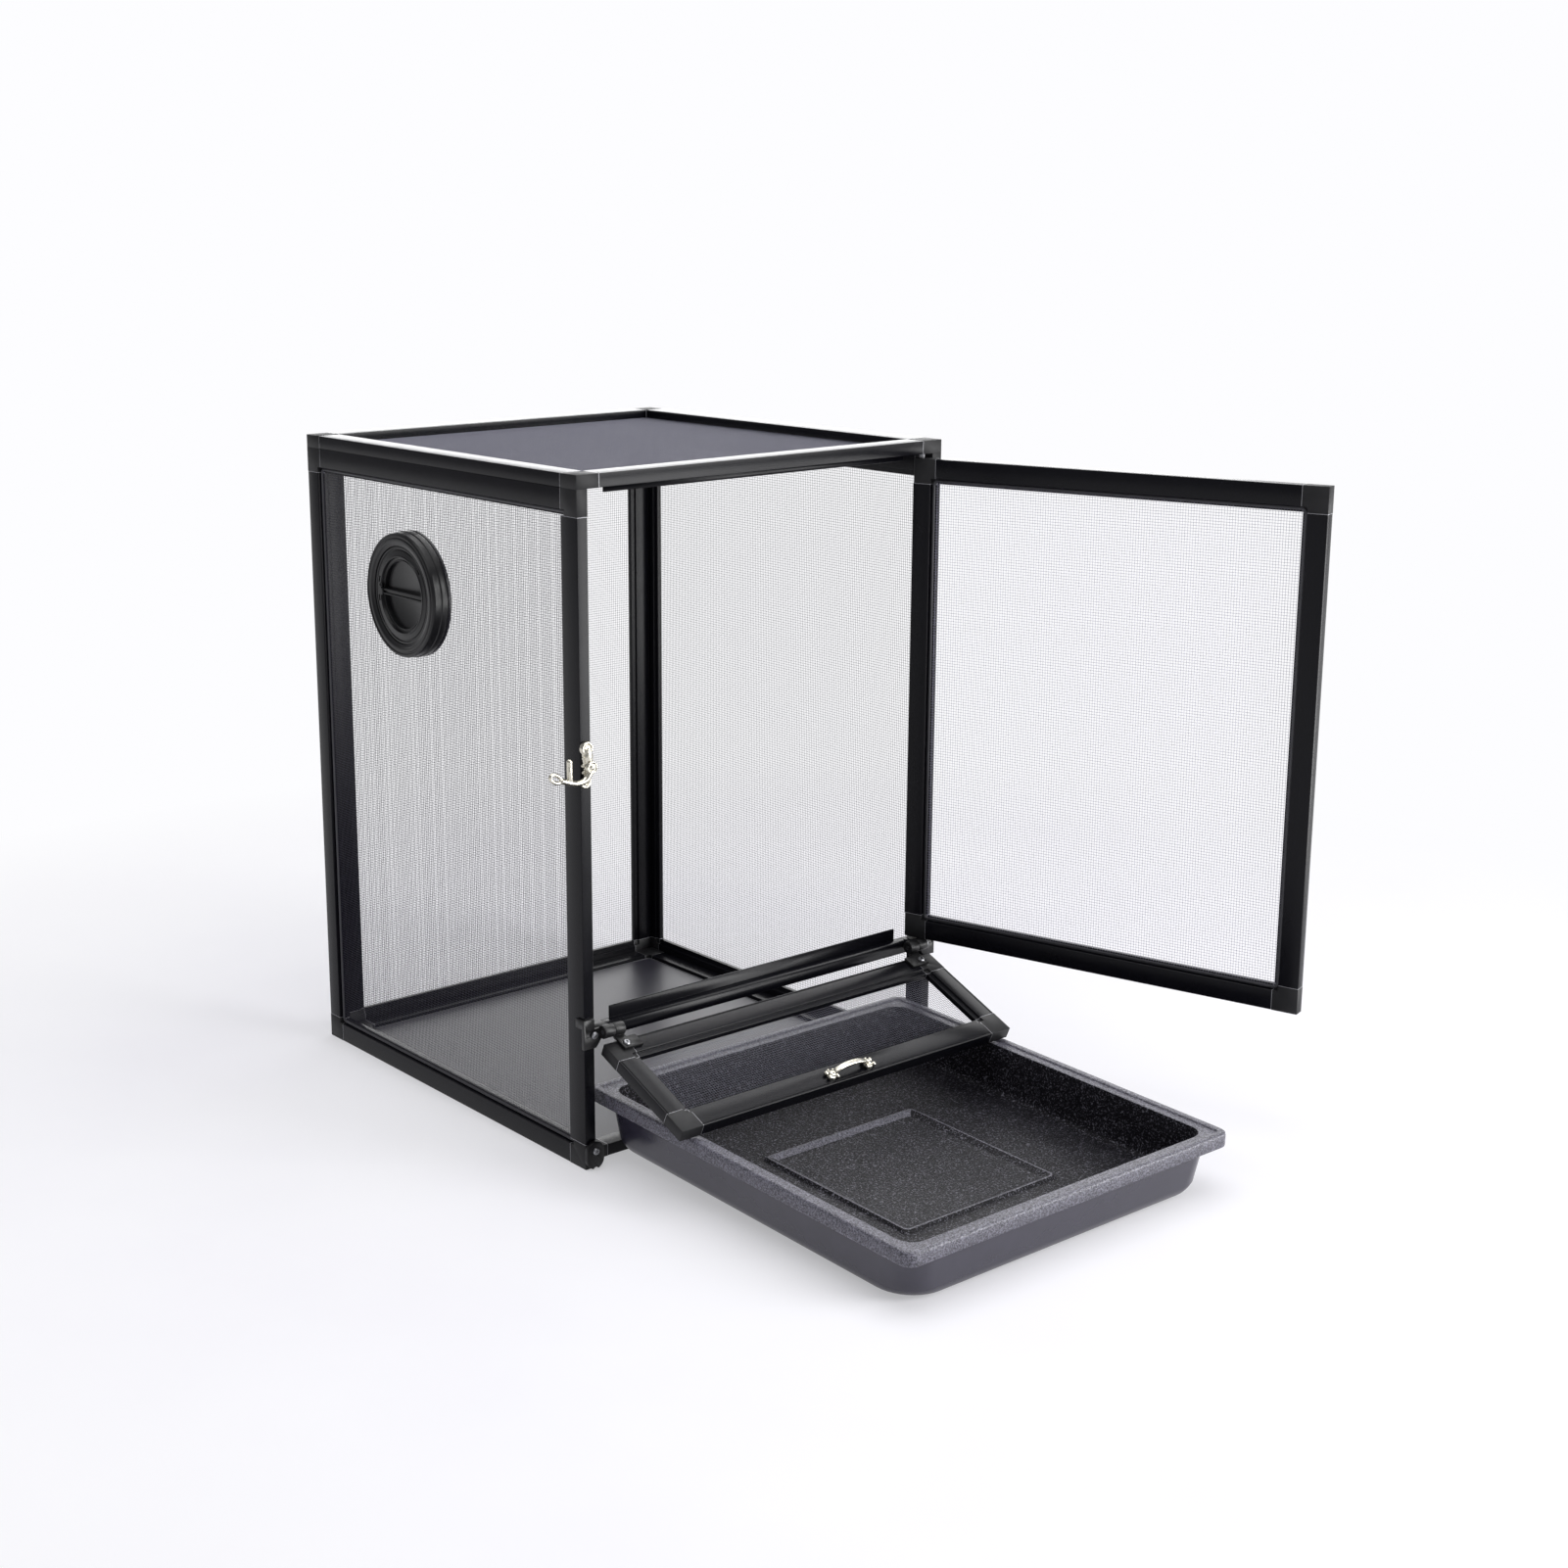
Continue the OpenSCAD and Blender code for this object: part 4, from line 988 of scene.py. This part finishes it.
class TERRARIUM_OT_latch(bpy.types.Operator):
    """Cast the door latch: base, swinging arm and pivot knob"""
    bl_idname = "terrarium.latch"
    bl_label = "Latch"

    def execute(self, context):
        px, pz = LATCH_PIVOT

        def at(x, z, y=0.0):
            """Point across and up from the pivot, and out from the face."""
            return Vector((px + x, FRONT_FACE - y, pz + z))

        def ring(x, z, radius, y):
            return [at(x + radius * math.cos(a), z + radius * math.sin(a), y)
                    for a in around(32)]

        base = bmesh.new()
        disc(base, at(-1.9, 15.8, 0.05), at(-1.9, 15.8, 2.6), 6.4, 6.0)
        tube(base, ring(-1.9, 15.8, 4.9, 2.8), 1.1, 12, closed=True)
        disc(base, at(-2.4, -13.6, 0.05), at(-2.4, -13.6, 1.9), 5.6, 5.2)
        tube(base, [at(-1.9, 15.8, 1.2), at(-1.6, 8.6, 1.6), at(-0.4, 0, 1.3),
                    at(-1.4, -8, 1.2), at(-2.4, -13.6, 1.0)], [4.4, 5.0, 4.6, 3.4, 3.4])
        disc(base, at(0, 0, 0.05), at(0, 0, 2.9), 5.0)
        for x, z, r in ((2.4, 8.4, 2.6), (-4.2, 7.8, 2.6), (-5.4, 1.2, 1.9), (-5.0, -4.6, 1.8)):
            ball(base, at(x, z, 1.6), (r, 2.0, r))
        cast("latch_base", base, 3)

        # the arm's middle stands this far out from the upright
        y = 4.8
        arm = bmesh.new()
        disc(arm, at(-0.4, 0, 3.1), at(-0.4, 0, 6.0), 5.2)
        spine = smooth_path([at(-0.4, -1, y), at(-1.8, -6.4, y), at(-6.6, -11.0, y),
                             at(-14.0, -12.2, y), at(-21.5, -10.6, y), at(-31, -7.4, y)])
        tube(arm, spine, [3.2 - 0.02 * k for k in range(len(spine))])
        tube(arm, smooth_path([at(-21.4, -10.4, y), at(-22.4, -3.0, y + 0.6),
                               at(-22.2, 7.4, y + 0.3)]), 2.5)
        ball(arm, at(-22.2, 7.6, y + 0.3), 2.6)
        # the flat loop at the arm's tip, a little askew
        loop = [at(-36.4 + 5.4 * math.cos(a) + 0.3 * math.sin(a),
                   -4.9 + 3.4 * math.sin(a) - 2.2 * math.cos(a), y) for a in around(32)]
        tube(arm, loop, 1.7, 12, closed=True)
        cast("latch_arm", arm, 4)

        knob = bmesh.new()
        disc(knob, at(0, 0, -8), at(0, 0, 6.4), 2.0)
        disc(knob, at(-0.4, 0, 6.1), at(-0.4, 0, 7.4), 5.6, 5.4)
        tube(knob, ring(-0.4, 0, 4.6, 7.4), 0.9, 12, closed=True)
        ball(knob, at(-0.4, 0, 7.4), (2.6, 1.6, 2.6))
        cast("latch_knob", knob, 2)
        dress(finishes()["nickel"], "latch_screws")
        return {"FINISHED"}


HANDLE_HEIGHT = 10.0


class TERRARIUM_OT_handle(bpy.types.Operator):
    """Cast the flap's bow handle with its knuckled feet"""
    bl_idname = "terrarium.handle"
    bl_label = "Flap Handle"

    def execute(self, context):
        bm = bmesh.new()
        face, z0 = FRONT_FACE, HANDLE_HEIGHT
        bow = [(x, face - out, z0) for x, out in (
            (-20.5, 2.8), (-16.0, 6.6), (-8, 9.2), (0, 9.8), (8, 9.2), (16.0, 6.6), (20.5, 2.8))]
        # the bow is a flat strip with two ribs
        for dz, r in ((-1.3, 1.5), (1.3, 1.5), (0.0, 1.7)):
            tube(bm, smooth_path([(x, y, z + dz) for x, y, z in bow]), r, 12)
        for s in (-1, 1):
            x = s * 22
            tube(bm, [(x, face + 4, z0), (x, face - 0.2, z0)], 2.0)
            disc(bm, (x, face - 0.1, z0), (x, face - 2.2, z0), 4.8, 4.2)
            ball(bm, (x, face - 3.0, z0), (3.6, 2.6, 3.6))
            for dx, dz, r in ((4.2, 2.9, 2.2), (4.2, -2.9, 2.2), (-4.0, 3.6, 2.1),
                              (-4.0, -3.6, 2.1), (0.4, 4.8, 1.9)):
                ball(bm, (x + s * dx, face - 2.5, z0 + dz), r)
        bmesh.ops.transform(bm, matrix=turned("X", -FLAP_TURN, FLAP_PIVOT), verts=bm.verts)
        cast("flap_handle", bm, 3)
        return {"FINISHED"}


class TERRARIUM_OT_hinges(bpy.types.Operator):
    """Round the flap's moulded hinges and clips, and finish their screws"""
    bl_idname = "terrarium.hinges"
    bl_label = "Hinges and Clips"

    def execute(self, context):
        looks = finishes()
        for kind, look, radius, segments in (("flap_bracket", "hinge", 0.5, 2),
                                             ("flap_leaf", "hinge", 0.5, 2),
                                             ("clip", "clip", 0.9, 3)):
            for side in ("_left", "_right"):
                softened(kind + side, looks[look], radius, segments)
        dress(looks["zinc"], "bracket_screws", "leaf_screws", "clip_screws", "port_screws")
        return {"FINISHED"}


# ---- access port ------------------------------------------------------------------------
def lathe(bm, outline, at):
    """Turns a closed outline of radius and height round an axis."""
    rings = [[bm.verts.new(at @ Vector((r * math.cos(a), r * math.sin(a), z)))
              for r, z in outline] for a in around(96)]
    n = len(outline)
    for a, b in zip(rings, rings[1:] + rings[:1]):
        for i in range(n):
            j = (i + 1) % n
            bm.faces.new((a[i], b[i], b[j], a[j]))


class TERRARIUM_OT_port(bpy.types.Operator):
    """Turn the access port's flange and bayonet cap, and round its backing ring"""
    bl_idname = "terrarium.port"
    bl_label = "Access Port"

    def execute(self, context):
        looks = finishes()
        at = Matrix.Translation(PORT_PLACE) @ Matrix.Rotation(-math.pi / 2, 4, "Y")
        flange = [(40, -3.5), (58, -3.5), (58, 2.6), (57.2, 3.4), (57.2, 9.2), (56.8, 11.0),
                  (55.6, 11.8), (54.4, 12), (53.8, 11.0), (52.4, 11.0), (51.8, 11.9),
                  (48.8, 11.7), (47.6, 10.6), (45.3, 10.2), (45.3, 5.7), (40, 5.7)]
        bm = bmesh.new()
        lathe(bm, rounded(flange, [0.3, 0.5, 0.5, 0.3, 0.4, 0.6, 0.6, 0.3, 0.2, 0.2, 0.4, 0.5,
                                   0.5, 0.3, 0.3, 0.3], 2), at)
        obj = mesh_object("port_flange_turned", bm, looks["port"])
        plain(obj, angle=32)
        place(obj, "port_flange")
        softened("port_backing", looks["port"], 0.6)

        cap = [(0, 1.0), (39.7, 1.0), (39.7, 6.0), (45, 6.0), (45, 9.5), (42.9, 9.5),
               (42.5, 8.6), (41.5, 8.6), (41.1, 9.5), (36.4, 9.5), (36.0, 10.3), (34.7, 10.3),
               (34.3, 7.6), (32.3, 7.2), (32.0, 8.0), (31.2, 8.0), (30.9, 3.5), (0, 3.5)]
        bm = bmesh.new()
        lathe(bm, rounded(cap, [0, 0.3, 0.3, 0.3, 0.6, 0.2, 0.2, 0.2, 0.3, 0.2, 0.3, 0.3, 0.3,
                                0.2, 0.2, 0.2, 0.4, 0], 2), Matrix.Identity(4))
        bmesh.ops.remove_doubles(bm, verts=bm.verts, dist=0.001)
        bmesh.ops.transform(bm, matrix=at, verts=bm.verts)
        obj = mesh_object("port_cap_turned", bm, looks["port"])
        # slots in the cap's rim, at three angles in degrees
        slots = bmesh.new()
        slot = Matrix.Translation((38.6, 0, 9.0)) @ Matrix.Diagonal((1.8, 6.0, 3.0, 1))
        for angle in (100, 74, -50):
            bmesh.ops.create_cube(slots, size=1.0, matrix=at
                                  @ Matrix.Rotation(math.radians(angle), 4, "Z") @ slot)
        carve(obj, slots)
        # grip bar with a groove along it, the round stop at its end and a small ball beside it
        grip = [(-3.1, 3.2), (-2.9, 8.8), (-2.3, 9.6), (-1.4, 9.6), (-0.7, 8.0), (0.7, 8.0),
                (1.4, 9.6), (2.3, 9.6), (2.9, 8.8), (3.1, 3.2)]
        bm = bmesh.new()
        loft(bm, [[(x, y, z) for x, z in grip] for y in (-34.4, 34.4)])
        tube(bm, [(0, 35, 5), (0, 35, 10.0), (0, 35, 10.8)], [4.4, 4.4, 3.7], 24)
        ball(bm, (5.2, 34.0, 9.6), 2.3)
        bmesh.ops.recalc_face_normals(bm, faces=bm.faces)
        bmesh.ops.transform(bm, matrix=Matrix.Scale(MM, 4) @ at, verts=bm.verts)
        bm.from_mesh(obj.data)
        bm.to_mesh(obj.data)
        bm.free()
        plain(obj, angle=32)
        place(obj, "port_cap")
        return {"FINISHED"}


# ---- studio -----------------------------------------------------------------------------
# metres: the paper's reach before and behind the cage, its bend's radius, top and half width
PAPER_FRONT, PAPER_BACK, BEND, PAPER_TOP, PAPER_HALF = 3.4, 2.1, 1.2, 4.6, 4.0
PAPER_TURN = math.radians(-37.9)
# the camera's place in metres, its yaw, pitch and roll in radians, and its shift in pixels
CAMERA_PLACE = (-1.33435, -1.56202, 0.8385)
CAMERA_TURN = (-0.6614781, 0.2434551, -0.0072075)
SHIFT_PX, FRAME_PX = (139.797, -18.508), 1601


class TERRARIUM_OT_studio(bpy.types.Operator):
    """Set up the seamless paper, the soft lamps and the camera"""
    bl_idname = "terrarium.studio"
    bl_label = "Studio"

    def execute(self, context):
        scene = context.scene
        looks = scene.terrarium_studio
        scene.view_settings.view_transform = "Standard"
        bm = bmesh.new()
        bends = [k * math.pi / 2 / 16 for k in range(1, 17)]
        profile = [(-PAPER_FRONT, 0.0), (PAPER_BACK, 0.0)]
        profile += [(PAPER_BACK + BEND * math.sin(a), BEND - BEND * math.cos(a)) for a in bends]
        profile += [(PAPER_BACK + BEND, PAPER_TOP)]
        rows = [[bm.verts.new((x, y, z)) for x in (-PAPER_HALF, PAPER_HALF)] for y, z in profile]
        for a, b in zip(rows, rows[1:]):
            face = bm.faces.new((a[0], a[1], b[1], b[0]))
            face.smooth = True
        bmesh.ops.transform(bm, matrix=Matrix.Rotation(PAPER_TURN, 4, "Z"), verts=bm.verts)
        mesh = bpy.data.meshes.new("seamless_paper")
        bm.to_mesh(mesh)
        bm.free()
        mesh.materials.append(seamless_paper())
        new_object("seamless_paper", mesh)

        world = bpy.data.worlds.new("Room")
        scene.world = world
        world.use_nodes = True
        back = world.node_tree.nodes["Background"]
        back.inputs["Color"].default_value = linear("#fbfbff")
        back.inputs["Strength"].default_value = looks.world

        def lamp(name, where, to, size, power):
            data = bpy.data.lights.new(name, "AREA")
            data.shape, data.size, data.size_y, data.energy = "RECTANGLE", *size, power
            obj = bpy.data.objects.new(name, data)
            obj.location = where
            obj.rotation_euler = (Vector(to) - Vector(where)).to_track_quat("-Z", "Y").to_euler()
            obj.visible_camera = False
            scene.collection.objects.link(obj)
            return obj

        lamp("top_box", (0.1, -0.2, 2.6), (0.0, 0.1, 0.2), (2.6, 2.6), looks.key)
        lamp("right_box", (1.5, -2.5, 1.5), (0.0, 0.0, 0.3), (1.4, 1.6), looks.key * 1.2)
        # cards that only glossy surfaces mirror
        for name, where, size, power in (
                ("low_card", (1.8, 2.3, 0.88), (2.4, 0.75), looks.card * 0.7),
                ("front_card", (0.8, -1.1, 0.25), (1.3, 0.5), looks.card * 0.7),
                ("high_card", (1.6, 1.0, 2.2), (2.2, 2.2), looks.card * 2)):
            lamp(name, where, (0.0, 0.0, 0.4), size, power).visible_diffuse = False

        data = bpy.data.cameras.new("studio_camera")
        data.lens, data.sensor_width = looks.lens, 36.0
        data.shift_x, data.shift_y = (px / FRAME_PX for px in SHIFT_PX)
        data.clip_start, data.clip_end = 0.05, 60.0
        camera = bpy.data.objects.new("studio_camera", data)
        yaw, pitch, roll = CAMERA_TURN
        ahead = Vector((-math.sin(yaw) * math.cos(pitch), math.cos(yaw) * math.cos(pitch),
                        -math.sin(pitch)))
        right = Vector((math.cos(yaw), math.sin(yaw), 0.0))
        up = right.cross(ahead)
        across = right * math.cos(roll) + up * math.sin(roll)
        above = up * math.cos(roll) - right * math.sin(roll)
        turn = Matrix((across, above, -ahead)).transposed().to_4x4()
        camera.matrix_world = Matrix.Translation(CAMERA_PLACE) @ turn
        scene.collection.objects.link(camera)
        scene.camera = camera
        return {"FINISHED"}


OPERATORS = (TERRARIUM_OT_frame_bars, TERRARIUM_OT_connectors, TERRARIUM_OT_screens,
             TERRARIUM_OT_tray, TERRARIUM_OT_latch, TERRARIUM_OT_handle, TERRARIUM_OT_hinges,
             TERRARIUM_OT_port, TERRARIUM_OT_studio)


class TERRARIUM_PT_panel(bpy.types.Panel):
    """Lists the terrarium's pieces in the sidebar"""
    bl_label = "Terrarium"
    bl_idname = "TERRARIUM_PT_panel"
    bl_space_type = "VIEW_3D"
    bl_region_type = "UI"
    bl_category = "Terrarium"

    def draw(self, context):
        layout = self.layout
        for name, group in SETTINGS.items():
            box = layout.box()
            box.label(text=group.__name__)
            settings = getattr(context.scene, name)
            for prop in group.__annotations__:
                box.prop(settings, prop)
        for operator in OPERATORS:
            layout.operator(operator.bl_idname)


CLASSES = (*SETTINGS.values(), *OPERATORS, TERRARIUM_PT_panel)


def register():
    for cls in CLASSES:
        bpy.utils.register_class(cls)
    for name, group in SETTINGS.items():
        setattr(bpy.types.Scene, name, PointerProperty(type=group))


def unregister():
    for name in SETTINGS:
        delattr(bpy.types.Scene, name)
    for cls in reversed(CLASSES):
        bpy.utils.unregister_class(cls)


def main():
    register()
    for operator in OPERATORS:
        group, name = operator.bl_idname.split(".")
        getattr(getattr(bpy.ops, group), name)()


if __name__ == "__main__":
    main()
